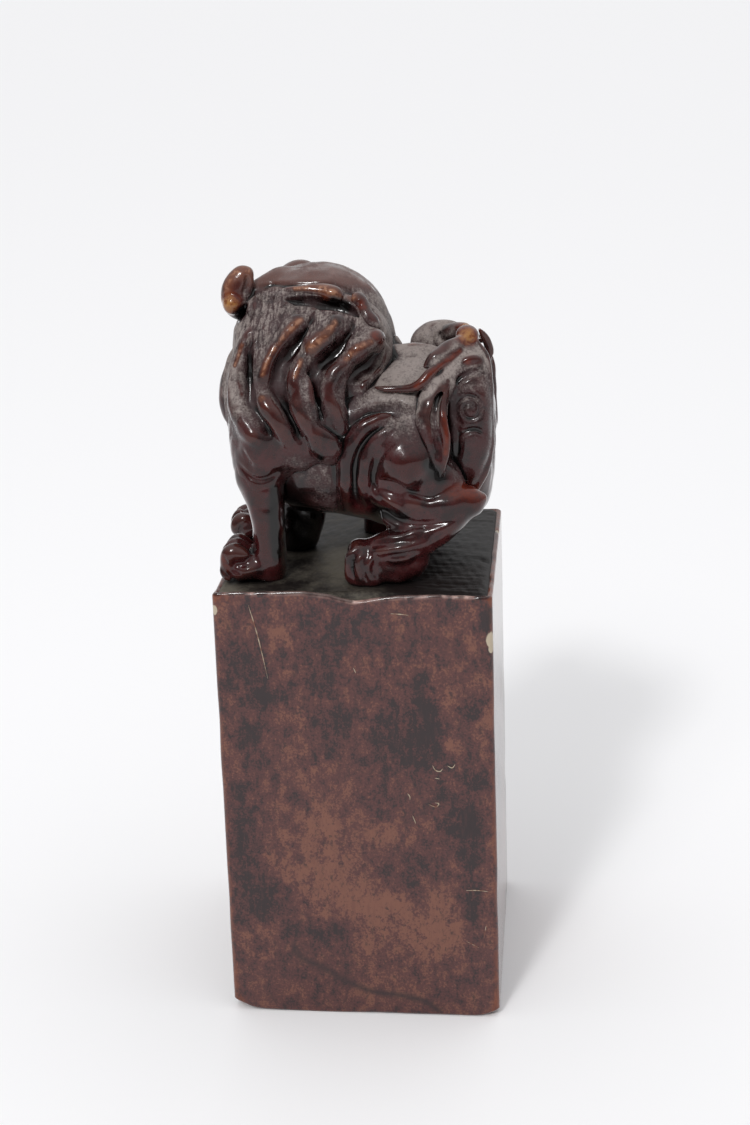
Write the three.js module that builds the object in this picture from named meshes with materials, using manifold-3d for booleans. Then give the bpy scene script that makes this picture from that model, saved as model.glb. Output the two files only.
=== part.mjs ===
// Carved stone seal: a square block that tapers slightly upwards, with a seated guardian lion on top.
// The lion's body points towards -X, its left flank towards -Y, and its head is turned towards +Y.
// Millimetres, +Z up, origin at the middle of the printing face.
import * as THREE from 'three';
import { mergeVertices } from 'three/addons/utils/BufferGeometryUtils.js';
import Module from 'manifold-3d';

const wasm = await Module();
wasm.setup();

// Block
const FOOT_WIDTH = 36; // square printing face
const TOP_WIDTH = 35; // square under the lion
const BLOCK_HEIGHT = 58.6;
const GROUND_HEIGHT = 1.6; // carved ground that the lion sits on
const CORNER_ROUND = 0.7; // worn upright corners
const EDGE_WEAR = 0.4; // worn edges of the two end faces
const SEAM = 0.3; // gap left where two carved forms meet

// Trunk of the lion, heights above the ground
const CHEST_X = -15.5;
const TAIL_ROOT_X = 14.5;
const BODY_Y = -2; // the body sits a little towards the near side
const BELLY = 6.2;
const RUMP = 27;
const BODY_HALF_WIDTH = 10.3;

// Mane: one mass over the shoulders and neck, with locks lying on it
const MANE_BOTTOM = 12.5;
const MANE_HEIGHT = 21.5;
const MANE_HALF_LENGTH = 9.7;
const MANE_HALF_WIDTH = 10.6;
const LOCK_WIDTH = 1.55; // half across
const LOCK_DEPTH = 1.9;
const LOCK_RISE = 0.95; // how far a lock stands proud of the mane
const CURL_WIDTH = 1; // the two curls behind the crown
const CURL_DEPTH = 1.3;

// Head, set on the mane and turned away from the near side
const SKULL_HALF_WIDTH = 8.9; // ear to ear
const SKULL_HALF_LENGTH = 7.6;
const SKULL_HEIGHT = 12.6;
const HEAD_TURN = 70 * Math.PI / 180; // from the body's forward direction
const EAR_HEIGHT = 7.5;
const EAR_HALF_WIDTH = 2.1;
const EAR_HALF_DEPTH = 1.6;
const EAR_CURL_RADIUS = 1.5; // ball at the foot of the ear
const MUZZLE_LENGTH = 11.2; // from the middle of the skull
const MUZZLE_HALF_WIDTH = 4.7;
const MUZZLE_HALF_HEIGHT = 4;
const MUZZLE_DROP = 1.4; // below the middle of the skull
const JAW_DROP = 5.6; // lower jaw below the muzzle
const JAW_HALF_HEIGHT = 2.2;
const NOSE_RADIUS = 1.3;
const EYE_RADIUS = 1.75;
const BROW_WIDTH = 1.35;
const BEARD_LENGTH = 9.5;
const BEARD_HALF_DEPTH = 2.2;

// Legs
const FORELEG_SPREAD = 9; // from the body's middle plane
const FORELEG_X = -11;
const FAR_FORELEG_IN = 1.6; // the far foreleg stands closer in
const FAR_FORELEG_STEP = 1; // and further forward
const FORELEG_HALF_WIDTH = 2.15;
const FOREPAW_REACH = 5.6; // ankle to toe tips
const TOE_RADIUS = 1.35;
const TOE_HEIGHT = 4.4;
const FOOT_INSET = 1.4; // hind foot inside the thigh's outer face
const THIGH_X = 6.4;
const THIGH_MIDDLE = 16.2;
const THIGH_HALF_LENGTH = 5.2;
const THIGH_HALF_HEIGHT = 6;
const THIGH_SPREAD = 5.9;
const THIGH_HALF_DEPTH = 6.1;
const HOCK_X = 14.7;
const HOCK_HEIGHT = 10;
const SHANK_HALF_WIDTH = 2.2;
const HIND_PAW_X = 0.6;
const BAND_WIDTH = 1.25; // carved flame bands round the thigh
const BAND_RISE = 0.7;

// Tail, fanned up over the rump
const TAIL_TOP = 29.6;
const TAIL_BOTTOM = 5;
const TAIL_THICKNESS = 2.4;
const TAIL_HALF_WIDTH = 4.4;
const TAIL_SETBACK = 0.6; // fan behind the tail's root
const TAIL_REACH = 10; // how far the plumes lie forward over the rump
const PLUME_WIDTH = 1.5;
const SCROLL_RADIUS = 3.7;

const GROUND_TOP = BLOCK_HEIGHT + GROUND_HEIGHT;
const NEAR = new THREE.Vector3(0, -1, 0);
const FAR = new THREE.Vector3(0, 1, 0);
const UP = new THREE.Vector3(0, 0, 1);
const REAR = new THREE.Vector3(1, 0, 0);
const SIDES = 8;
const RINGS = 7;

const DYED = '#4a2220';
const AMBER = '#8a4a24'; // dye worn thin
const BLOCK_COLOUR = '#6a4640';
const GROUND_COLOUR = '#4c3a34';

const model = new THREE.Group();
const carved = [];

const place = (x, y, height) => new THREE.Vector3(x, y, GROUND_TOP + height);
const station = (point, side, depth) => ({ point, side, depth });

function toSolid(geometry) {
  const bare = geometry.clone();
  bare.deleteAttribute('normal');
  bare.deleteAttribute('uv');
  const merged = mergeVertices(bare, 1e-4);
  return new wasm.Manifold(new wasm.Mesh({
    numProp: 3,
    vertProperties: new Float32Array(merged.attributes.position.array),
    triVerts: new Uint32Array(merged.index.array),
  }));
}

function toGeometry(solid) {
  const mesh = solid.getMesh();
  const geometry = new THREE.BufferGeometry();
  geometry.setAttribute('position', new THREE.BufferAttribute(mesh.vertProperties, 3));
  geometry.setIndex(new THREE.BufferAttribute(mesh.triVerts, 1));
  geometry.computeVertexNormals();
  return geometry;
}

// Every vertex moved along its normal, so that a neighbour cut by the result keeps the seam
function swollen(geometry, by) {
  const bare = geometry.clone();
  bare.deleteAttribute('normal');
  bare.deleteAttribute('uv');
  const skin = mergeVertices(bare, 1e-4);
  skin.computeVertexNormals();
  const { position, normal } = skin.attributes;
  for (let i = 0; i < position.count; i += 1) {
    position.setXYZ(
      i,
      position.getX(i) + by * normal.getX(i),
      position.getY(i) + by * normal.getY(i),
      position.getZ(i) + by * normal.getZ(i),
    );
  }
  return skin;
}

// A rounded form carried along a smooth line: elliptical sections, side and depth their half sizes,
// depth pointing towards out. A higher bluntness gives fuller ends, and a fullness under 1 squarer
// sections.
class Form {
  constructor(stations, out, { bluntness = 4, sides = SIDES, rings = RINGS, fullness = 1 } = {}) {
    this.out = out;
    this.fullness = fullness;
    this.line = new THREE.CatmullRomCurve3(stations.map((s) => s.point), false, 'centripetal');
    this.section = new THREE.SplineCurve(stations.map((s) => new THREE.Vector2(s.side, s.depth)));
    const geometry = new THREE.SphereGeometry(1, sides, rings);
    const { position } = geometry.attributes;
    for (let i = 0; i < position.count; i += 1) {
      const along = THREE.MathUtils.clamp(position.getY(i), -1, 1);
      const taper = Math.sqrt(Math.max(0, 1 - Math.abs(along) ** bluntness));
      const angle = Math.atan2(position.getZ(i), position.getX(i));
      const point = this.at((1 + along) / 2, angle, 0, taper);
      position.setXYZ(i, point.x, point.y, point.z);
    }
    this.geometry = geometry;
  }

  frame(t) {
    const along = this.line.getTangent(t);
    const outward = this.out.clone().addScaledVector(along, -this.out.dot(along)).normalize();
    return { outward, side: new THREE.Vector3().crossVectors(along, outward) };
  }

  // A point on the surface: t along the line, angle from the side direction towards out
  at(t, angle, rise = 0, taper = 1) {
    const { outward, side } = this.frame(t);
    const half = this.section.getPoint(t);
    const filled = (value) => Math.sign(value) * Math.abs(value) ** this.fullness;
    return this.line.getPoint(t)
      .addScaledVector(side, filled(Math.cos(angle)) * (half.x * taper + rise))
      .addScaledVector(outward, filled(Math.sin(angle)) * (half.y * taper + rise));
  }
}

// A ball or egg with its three half sizes along the axes
function egg(centre, halfX, halfY, halfZ, sides = SIDES, rings = 6) {
  const geometry = new THREE.SphereGeometry(1, sides, rings);
  geometry.scale(halfX, halfY, halfZ);
  geometry.translate(centre.x, centre.y, centre.z);
  return { geometry };
}

function joined(geometries) {
  return geometries.map(toSolid).reduce((whole, piece) => whole.add(piece));
}

function apart(a, b) {
  const first = a.boundingBox();
  const second = b.boundingBox();
  return [0, 1, 2].some((axis) => first.min[axis] > second.max[axis] || second.min[axis] > first.max[axis]);
}

function addPiece(name, solid, colour, roughness = 0.3) {
  const material = new THREE.MeshStandardMaterial({ color: colour, roughness, metalness: 0 });
  const mesh = new THREE.Mesh(toGeometry(solid), material);
  mesh.name = name;
  model.add(mesh);
}

// The forms as one solid, less the seam round everything carved before it and all below the ground
const below = new THREE.BoxGeometry(2 * FOOT_WIDTH, 2 * FOOT_WIDTH, GROUND_TOP);
below.translate(0, 0, GROUND_TOP / 2);
const underground = toSolid(below);

function carve(name, forms, colour = DYED) {
  let solid = joined(forms.map((form) => form.geometry)).subtract(underground);
  for (const earlier of carved) {
    if (!apart(solid, earlier)) {
      solid = solid.subtract(earlier);
    }
  }
  const pieces = solid.decompose();
  const largest = pieces.reduce((best, piece) => (piece.volume() > best.volume() ? piece : best));
  addPiece(name, largest, colour);
  carved.push(joined(forms.map((form) => swollen(form.geometry, SEAM))));
}

// A square slab whose width changes evenly from its foot to its top, with worn edges
function slab(bottomWidth, topWidth, bottom, height) {
  const half = topWidth / 2 - EDGE_WEAR;
  const round = CORNER_ROUND - EDGE_WEAR;
  const outline = new THREE.Shape();
  outline.moveTo(half - round, -half);
  outline.absarc(half - round, round - half, round, -Math.PI / 2, 0);
  outline.absarc(half - round, half - round, round, 0, Math.PI / 2);
  outline.absarc(round - half, half - round, round, Math.PI / 2, Math.PI);
  outline.absarc(round - half, round - half, round, Math.PI, 1.5 * Math.PI);
  const geometry = new THREE.ExtrudeGeometry(outline, {
    depth: height - 2 * EDGE_WEAR,
    curveSegments: 3,
    bevelSize: EDGE_WEAR,
    bevelThickness: EDGE_WEAR,
    bevelSegments: 1,
  });
  geometry.translate(0, 0, EDGE_WEAR);
  const { position } = geometry.attributes;
  for (let i = 0; i < position.count; i += 1) {
    const spread = THREE.MathUtils.lerp(bottomWidth, topWidth, position.getZ(i) / height) / topWidth;
    position.setXY(i, position.getX(i) * spread, position.getY(i) * spread);
  }
  geometry.translate(0, 0, bottom);
  return toSolid(geometry);
}

addPiece('seal_block', slab(FOOT_WIDTH, TOP_WIDTH, 0, BLOCK_HEIGHT), BLOCK_COLOUR, 0.4);
addPiece('carved_ground', slab(TOP_WIDTH, TOP_WIDTH, BLOCK_HEIGHT, GROUND_HEIGHT), GROUND_COLOUR, 0.6);

// The large masses are laid out first, because the smaller forms lie on them, and carved last
const bodyLength = TAIL_ROOT_X - CHEST_X;
const bodyHeight = RUMP - BELLY;
function trunkStation(share, raised, lowered, half) {
  const bottom = BELLY + raised * bodyHeight;
  const top = RUMP - lowered * bodyHeight;
  return station(
    place(CHEST_X + share * bodyLength, BODY_Y, (bottom + top) / 2),
    half * BODY_HALF_WIDTH,
    (top - bottom) / 2,
  );
}
const trunk = new Form([
  trunkStation(0, 0.096, 0.337, 0.55),
  trunkStation(0.25, 0.024, 0.24, 0.9),
  trunkStation(0.5, -0.019, 0.077, 0.98),
  trunkStation(0.8, -0.106, -0.01, 1),
  trunkStation(1, -0.048, 0.048, 0.8),
], UP, { bluntness: 5, sides: 14, rings: 10, fullness: 0.85 });

const maneFoot = CHEST_X + 0.72 * MANE_HALF_LENGTH;
const maneStation = (share, back, across, length, width) => station(
  place(
    maneFoot + back * MANE_HALF_LENGTH,
    BODY_Y + across * MANE_HALF_WIDTH,
    MANE_BOTTOM + share * MANE_HEIGHT,
  ),
  length * MANE_HALF_LENGTH,
  width * MANE_HALF_WIDTH,
);
const mane = new Form([
  maneStation(-0.1, -0.041, -0.094, 0.8, 0.74),
  maneStation(0.22, 0.052, -0.094, 0.88, 0.99),
  maneStation(0.48, 0.155, -0.057, 0.95, 1.02),
  maneStation(0.74, 0.34, 0.038, 1.07, 0.88),
  maneStation(1.1, 0.433, 0.226, 0.84, 0.66),
], NEAR, { bluntness: 5, sides: 14, rings: 10, fullness: 0.8 });

// Head frame: face is where it looks, right is its own right side
const face = new THREE.Vector3(-Math.cos(HEAD_TURN), Math.sin(HEAD_TURN), 0);
const right = new THREE.Vector3().crossVectors(face, UP);
const left = right.clone().negate();
const skullSeat = new THREE.Vector3(0.04 * MANE_HALF_LENGTH, 0.245 * MANE_HALF_WIDTH, 0.03 * SKULL_HEIGHT);
const skullMiddle = mane.line.getPoint(0.82).add(skullSeat);
const inHead = (toRight, forward, above) => skullMiddle.clone()
  .addScaledVector(right, toRight)
  .addScaledVector(face, forward)
  .addScaledVector(UP, above);
const skullStation = (share, above, length, height) => station(
  inHead(share * SKULL_HALF_WIDTH, 0, above * SKULL_HEIGHT),
  length * SKULL_HALF_LENGTH,
  height * SKULL_HEIGHT / 2,
);
const skull = new Form([
  skullStation(-1.05, 0.206, 0.74, 0.6),
  skullStation(-0.45, 0.127, 0.98, 0.88),
  skullStation(0.08, 0.008, 1.05, 1.05),
  skullStation(0.58, -0.26, 0.9, 0.88),
  skullStation(1, -0.44, 0.58, 0.7),
], UP, { bluntness: 3.2, sides: 14, rings: 10 });

const trunkSide = (sign) => (sign < 0 ? NEAR : FAR);
const bothSides = [['left', -1], ['right', 1]];
const turn = (degrees) => degrees * Math.PI / 180;

// Ears and the two curls behind the crown
const earRoot = inHead(
  -SKULL_HALF_WIDTH - 0.62 * EAR_HALF_WIDTH,
  -0.184 * SKULL_HALF_LENGTH,
  0.016 * SKULL_HEIGHT,
);
const earAt = (share, outward) => earRoot.clone()
  .addScaledVector(UP, share * EAR_HEIGHT)
  .addScaledVector(left, outward * EAR_HALF_WIDTH);
const earCurl = earAt(0.36, 0.43).addScaledVector(NEAR, 0.5 * EAR_HALF_DEPTH);
carve('left_ear', [
  new Form([
    station(earAt(0, 0.1), 0.75 * EAR_HALF_WIDTH, EAR_HALF_DEPTH),
    station(earAt(0.45, 0.29), EAR_HALF_WIDTH, EAR_HALF_DEPTH),
    station(earAt(1, -0.1), 0.8 * EAR_HALF_WIDTH, 0.75 * EAR_HALF_DEPTH),
  ], NEAR, { bluntness: 3 }),
  egg(earCurl, EAR_CURL_RADIUS, 0.93 * EAR_CURL_RADIUS, EAR_CURL_RADIUS),
], AMBER);
const farEarTop = 0.127 * SKULL_HEIGHT;
const farEarAt = (outward, drop) => inHead(
  outward * SKULL_HALF_WIDTH,
  0.45 * SKULL_HALF_LENGTH,
  farEarTop - drop * EAR_HEIGHT,
);
carve('right_ear', [
  new Form([
    station(farEarAt(0.7, 0), 0.8 * EAR_HALF_DEPTH, 0.8 * EAR_HALF_WIDTH),
    station(farEarAt(0.9, 0.29), EAR_HALF_DEPTH, EAR_HALF_WIDTH),
    station(farEarAt(0.84, 0.8), 0.6 * EAR_HALF_DEPTH, EAR_HALF_WIDTH),
  ], FAR, { bluntness: 3 }),
]);

// A place on the mane is a share of its line, from its foot to the crown, and an angle round it
const laidOnMane = (points, side, depth, rise, options) => new Form(
  points.map(([share, degrees, swell = 1]) => station(
    mane.at(share, turn(degrees), rise - depth * swell),
    side * swell,
    depth * swell,
  )),
  NEAR,
  options,
);

carve('crown_curl_large', [
  laidOnMane([[0.92, 106, 0.6], [0.93, 92, 0.9], [0.91, 77, 1.45]], CURL_WIDTH, CURL_DEPTH, CURL_DEPTH),
], AMBER);
carve('crown_curl_small', [
  laidOnMane([[0.92, 66, 1.3], [0.89, 59, 1], [0.85, 53, 0.6]], CURL_WIDTH, CURL_DEPTH, CURL_DEPTH),
], AMBER);

// Mane locks, root first, each point with its swelling
const locks = {
  mane_lock_front: [
    [0.72, 121, 0.7], [0.62, 132, 0.8], [0.49, 133, 0.9], [0.38, 127, 1], [0.29, 105, 0.9], [0.2, 95, 0.6],
  ],
  mane_lock_throat: [[0.56, 118, 0.6], [0.44, 110, 0.8], [0.36, 103, 0.9], [0.25, 92, 0.7]],
  mane_lock_ear: [[0.84, 91, 1.1], [0.76, 101, 1], [0.65, 107, 0.9], [0.55, 108, 0.9], [0.48, 105, 0.8]],
  mane_lock_ear_tip: [[0.47, 104, 0.9], [0.4, 95, 1], [0.32, 90, 0.9], [0.22, 87, 0.7]],
  mane_lock_crown: [[0.85, 70, 1], [0.82, 77, 1.2], [0.77, 85, 1.15], [0.7, 91, 0.8]],
  mane_lock_nape: [[0.67, 90, 0.7], [0.57, 91, 1], [0.49, 88, 1], [0.44, 83, 1], [0.34, 76, 0.7]],
  mane_lock_back: [
    [0.79, 44, 1.05], [0.75, 58, 1.3], [0.69, 71, 1.2], [0.6, 73, 1], [0.52, 66, 1], [0.44, 56, 0.9],
    [0.33, 44, 0.6],
  ],
  mane_lock_shoulder: [[0.44, 82, 0.8], [0.36, 72, 1.2], [0.28, 60, 1.25], [0.19, 41, 0.6]],
  mane_lock_chest: [[0.6, 164, 0.7], [0.46, 158, 1.2], [0.36, 158, 1.25], [0.24, 160, 0.8]],
  mane_lock_far_front: [[0.6, 218, 0.8], [0.46, 222, 1.1], [0.32, 232, 1], [0.2, 244, 0.7]],
  mane_lock_far_middle: [[0.58, 292, 0.8], [0.46, 288, 1.1], [0.32, 280, 1.1], [0.2, 270, 0.7]],
  mane_lock_far_back: [[0.74, 344, 0.8], [0.6, 330, 1.2], [0.46, 322, 1.2], [0.32, 312, 0.8]],
};
for (const [name, points] of Object.entries(locks)) {
  carve(name, [laidOnMane(points, LOCK_WIDTH, LOCK_DEPTH, LOCK_RISE)]);
}

// Face
const muzzleAt = (share, above) => inHead(0, share * MUZZLE_LENGTH, above);
const muzzleLevel = -MUZZLE_DROP;
const jawLevel = muzzleLevel - JAW_DROP;
const noseTip = muzzleAt(1, muzzleLevel + 0.55 * MUZZLE_HALF_HEIGHT);
carve('nose', [egg(noseTip, 0.42 * MUZZLE_HALF_WIDTH, NOSE_RADIUS, NOSE_RADIUS)]);
for (const [side, sign] of bothSides) {
  const browAt = (across, back, above) => inHead(
    sign * across * SKULL_HALF_WIDTH,
    (1 - back) * SKULL_HALF_LENGTH,
    above * SKULL_HEIGHT,
  );
  const eye = inHead(sign * 0.7 * MUZZLE_HALF_WIDTH, 0.95 * SKULL_HALF_LENGTH, 0.175 * SKULL_HEIGHT);
  carve(`${side}_eye`, [egg(eye, EYE_RADIUS, EYE_RADIUS, EYE_RADIUS)]);
  carve(`${side}_brow`, [new Form([
    station(browAt(0.157, 0.08, 0.333 - sign * 0.032), BROW_WIDTH, 0.9 * BROW_WIDTH),
    station(browAt(0.472, 0.184, 0.317 - sign * 0.095), BROW_WIDTH, BROW_WIDTH),
    station(browAt(0.742, 0.474, 0.175 - sign * 0.127), BROW_WIDTH, 0.8 * BROW_WIDTH),
  ], UP, { bluntness: 3 })]);
}
const muzzle = new Form([
  station(muzzleAt(0.3, muzzleLevel), MUZZLE_HALF_WIDTH * 1.15, MUZZLE_HALF_HEIGHT),
  station(muzzleAt(0.7, muzzleLevel), MUZZLE_HALF_WIDTH, 0.825 * MUZZLE_HALF_HEIGHT),
  station(muzzleAt(1.05, 0.86 * muzzleLevel), MUZZLE_HALF_WIDTH * 0.85, 0.625 * MUZZLE_HALF_HEIGHT),
], UP, { bluntness: 5 });
const lowerJaw = new Form([
  station(muzzleAt(0.2, jawLevel), MUZZLE_HALF_WIDTH * 0.95, JAW_HALF_HEIGHT),
  station(muzzleAt(0.65, jawLevel), MUZZLE_HALF_WIDTH * 0.85, 0.82 * JAW_HALF_HEIGHT),
  station(muzzleAt(0.95, jawLevel + 0.36 * JAW_HALF_HEIGHT), MUZZLE_HALF_WIDTH * 0.6, 0.59 * JAW_HALF_HEIGHT),
], UP, { bluntness: 4 });
carve('muzzle', [muzzle]);
carve('lower_jaw', [lowerJaw]);
const chin = jawLevel - 0.55 * JAW_HALF_HEIGHT;
carve('beard', [new Form([
  station(muzzleAt(0.62, chin), 0.7 * MUZZLE_HALF_WIDTH, 0.86 * BEARD_HALF_DEPTH),
  station(muzzleAt(0.66, chin - 0.45 * BEARD_LENGTH), 0.8 * MUZZLE_HALF_WIDTH, BEARD_HALF_DEPTH),
  station(muzzleAt(0.48, chin - BEARD_LENGTH), 0.35 * MUZZLE_HALF_WIDTH, 0.73 * BEARD_HALF_DEPTH),
], face, { bluntness: 3 })]);

// Tail: a fan up the rump with flame plumes on both edges and scrolls at the top
const tailDrop = TAIL_TOP - TAIL_BOTTOM;
const tailAt = (ahead, across, share) => place(
  TAIL_ROOT_X + TAIL_SETBACK - ahead * TAIL_REACH,
  BODY_Y + across * BODY_HALF_WIDTH,
  TAIL_BOTTOM + share * tailDrop,
);
const plumeStation = (point, width, depth) => station(point, width * PLUME_WIDTH, depth * PLUME_WIDTH);
carve('tail_scroll', [
  egg(tailAt(0.46, 0.68, 0.88), 1.1 * SCROLL_RADIUS, 0.65 * SCROLL_RADIUS, 0.8 * SCROLL_RADIUS, 10, 7),
  new Form([
    plumeStation(tailAt(0.89, 0.33, 0.85), 0.87, 0.8),
    plumeStation(tailAt(0.66, 0.27, 0.91), 1, 0.93),
    plumeStation(tailAt(0.46, 0.33, 0.88), 0.8, 0.8),
  ], UP, { bluntness: 3 }),
]);
carve('tail_tip', [
  egg(tailAt(0.08, -0.214, 0.98), 0.93 * PLUME_WIDTH, 1.07 * PLUME_WIDTH, 0.93 * PLUME_WIDTH),
], AMBER);
for (const [side, sign] of bothSides) {
  const out = trunkSide(sign);
  const onSide = (ahead, across, share) => tailAt(ahead, sign * across, share);
  carve(`tail_plume_${side}`, [
    new Form([
      plumeStation(onSide(0.22, 0.252, 0.93), 0.8, 0.93),
      plumeStation(onSide(0.38, 0.447, 0.83), 1, 1.13),
      plumeStation(onSide(0.5, 0.738, 0.7), 1, 1.13),
      plumeStation(onSide(0.52, 0.932, 0.53), 0.9, 1.07),
      plumeStation(onSide(0.48, 0.971, 0.38), 0.5, 0.8),
    ], out, { bluntness: 4 }),
    new Form([
      plumeStation(onSide(0.36, 0.485, 0.88), 0.53, 0.67),
      plumeStation(onSide(0.62, 0.66, 0.81), 0.6, 0.73),
      plumeStation(onSide(0.86, 0.796, 0.785), 0.53, 0.67),
      plumeStation(onSide(1.22, 0.854, 0.81), 0.27, 0.47),
    ], out, { bluntness: 4 }),
  ]);
  carve(`tail_curl_${side}`, [new Form([
    station(onSide(0.03, 0.233, 0.96), 0.43 * TAIL_HALF_WIDTH, TAIL_THICKNESS * 0.7),
    station(onSide(0.05, 0.369, 0.68), 0.61 * TAIL_HALF_WIDTH, TAIL_THICKNESS),
    station(onSide(0.05, 0.427, 0.45), 0.59 * TAIL_HALF_WIDTH, TAIL_THICKNESS),
    station(onSide(0.09, 0.447, 0.28), 0.3 * TAIL_HALF_WIDTH, TAIL_THICKNESS * 0.7),
  ], out, { bluntness: 4 })]);
}
carve('tail_fan', [new Form([
  station(tailAt(0.12, 0.097, 0.92), 0.8 * TAIL_HALF_WIDTH, 0.8 * TAIL_THICKNESS),
  station(tailAt(-0.01, 0.155, 0.62), TAIL_HALF_WIDTH, TAIL_THICKNESS),
  station(tailAt(-0.01, 0.214, 0.3), TAIL_HALF_WIDTH, TAIL_THICKNESS),
  station(tailAt(-0.02, 0.291, 0), 0.5 * TAIL_HALF_WIDTH, 0.8 * TAIL_THICKNESS),
], REAR, { bluntness: 4 })]);

// Legs: flame bands, paws, then the limbs that they lie on
for (const [side, sign] of bothSides) {
  const out = trunkSide(sign);
  const sideY = (distance) => BODY_Y + sign * distance;
  const thigh = egg(
    place(THIGH_X, sideY(THIGH_SPREAD), THIGH_MIDDLE),
    THIGH_HALF_LENGTH,
    THIGH_HALF_DEPTH,
    THIGH_HALF_HEIGHT,
    12,
    8,
  );
  const thighSurface = THIGH_SPREAD + THIGH_HALF_DEPTH;
  const bandPoint = (across, above, inward) => place(
    THIGH_X - across * THIGH_HALF_LENGTH,
    sideY(thighSurface + BAND_RISE - BAND_WIDTH * (1 + inward)),
    THIGH_MIDDLE + above * THIGH_HALF_HEIGHT,
  );
  const band = (points) => new Form(
    points.map(([across, above, inward, swell]) => station(
      bandPoint(across, above, inward),
      BAND_WIDTH * swell,
      BAND_WIDTH * swell,
    )),
    out,
  );
  carve(`thigh_flame_${side}`, [
    band([
      [0.1, 0.85, 1.28, 0.6], [0.6, 0.5, 0.48, 1], [0.84, 0.1, 0.4, 1], [0.9, -0.5, 0.8, 0.95],
      [0.7, -1.05, 1.92, 0.8],
    ]),
    band([
      [0.3, 1.05, 2.08, 0.6], [0.92, 0.7, 1.12, 0.95], [1.2, 0.1, 0.96, 1], [1.3, -0.6, 1.44, 1],
      [1.15, -1.35, 2.4, 0.8],
    ]),
  ]);

  const footY = thighSurface - FOOT_INSET;
  const hindToe = (back, outward, width, height) => egg(
    place(HIND_PAW_X + back * TOE_RADIUS, sideY(footY + outward * TOE_RADIUS), 0.62 * height * TOE_HEIGHT),
    1.1 * TOE_RADIUS,
    width * TOE_RADIUS,
    height * TOE_HEIGHT,
  );
  carve(`${side}_hind_paw`, [
    hindToe(0.15, -0.6, 1.37, 0.64),
    hindToe(1.26, 0.37, 1.3, 0.6),
    hindToe(2.67, 0.6, 1.15, 0.52),
  ]);
  const limbStation = (x, inward, height, width, depth) => station(
    place(x, sideY(footY - inward * SHANK_HALF_WIDTH), height),
    width * SHANK_HALF_WIDTH,
    depth * SHANK_HALF_WIDTH,
  );
  const kneeX = THIGH_X - 0.5 * THIGH_HALF_LENGTH;
  const shinX = (kneeX + HOCK_X) / 2;
  const heelX = HOCK_X + 0.86 * SHANK_HALF_WIDTH;
  carve(`${side}_hind_leg`, [
    new Form([
      limbStation(kneeX, 0.82, THIGH_MIDDLE - 0.6 * THIGH_HALF_HEIGHT, 1.3, 1.18),
      limbStation(shinX, 0.64, 1.14 * HOCK_HEIGHT, 1.15, 1.14),
      limbStation(heelX, 0.64, 1.05 * HOCK_HEIGHT, 0.95, 0.95),
    ], out, { bluntness: 4 }),
    new Form([
      limbStation(heelX - 0.23 * SHANK_HALF_WIDTH, 0.64, 0.98 * HOCK_HEIGHT, 0.9, 0.91),
      limbStation(HOCK_X - 0.28 * (HOCK_X - HIND_PAW_X), 0.55, 0.78 * HOCK_HEIGHT, 1, 1.09),
      limbStation(HOCK_X - 0.55 * (HOCK_X - HIND_PAW_X), 0.36, 0.5 * HOCK_HEIGHT, 1.3, 1.23),
      limbStation(HIND_PAW_X, 0.45, 0.26 * HOCK_HEIGHT, 1.25, 1.23),
    ], out, { bluntness: 4 }),
  ]);
  carve(`${side}_thigh`, [thigh]);

  const spread = sign < 0 ? FORELEG_SPREAD : FORELEG_SPREAD - FAR_FORELEG_IN;
  const pawX = sign < 0 ? FORELEG_X : FORELEG_X - FAR_FORELEG_STEP;
  const legY = sideY(spread);
  const toeTip = pawX - FOREPAW_REACH;
  const toes = [-1, 0, 1].map((row) => egg(
    place(toeTip + 1.26 * TOE_RADIUS, legY + row * 1.55 * TOE_RADIUS, 0.52 * TOE_HEIGHT),
    1.4 * TOE_RADIUS,
    TOE_RADIUS,
    0.58 * TOE_HEIGHT,
  ));
  carve(`${side}_forepaw`, [
    ...toes,
    egg(
      place(pawX - 0.21 * FOREPAW_REACH, legY, 0.36 * TOE_HEIGHT),
      0.64 * FOREPAW_REACH,
      2.1 * TOE_RADIUS,
      0.56 * TOE_HEIGHT,
    ),
  ]);
  const legStation = (back, inward, height, width) => station(
    place(pawX + back * FORELEG_HALF_WIDTH, sideY(spread - inward * FORELEG_HALF_WIDTH), height),
    width * FORELEG_HALF_WIDTH,
    1.08 * width * FORELEG_HALF_WIDTH,
  );
  carve(`${side}_foreleg`, [new Form([
    legStation(0.74, 1.58, 1.41 * MANE_BOTTOM, 2.2),
    legStation(-0.19, 0.47, 1.03 * MANE_BOTTOM, 1.65),
    legStation(-0.14, 0.05, 0.73 * MANE_BOTTOM, 1.1),
    legStation(0, 0, 0.9 * BELLY, 0.98),
    legStation(0.05, 0, 0, 1.1),
  ], out, { bluntness: 6, sides: 10, rings: 9 })]);
}

// The masses themselves
carve('skull', [skull]);
carve('mane', [mane]);
carve('trunk', [trunk]);

export default model;
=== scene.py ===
"""Carved soapstone seal: a tapering square block with a seated guardian lion, dyed red brown and waxed.

The block stands on its printing face, the lion's body points towards -X and its left flank towards -Y.
Forms are worked out in millimetres, with heights of the lion measured from the ground that it sits on.
"""
import copy
import functools

import bmesh
import bpy
import numpy as np
import openvdb
from mathutils import Matrix, Vector


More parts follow.
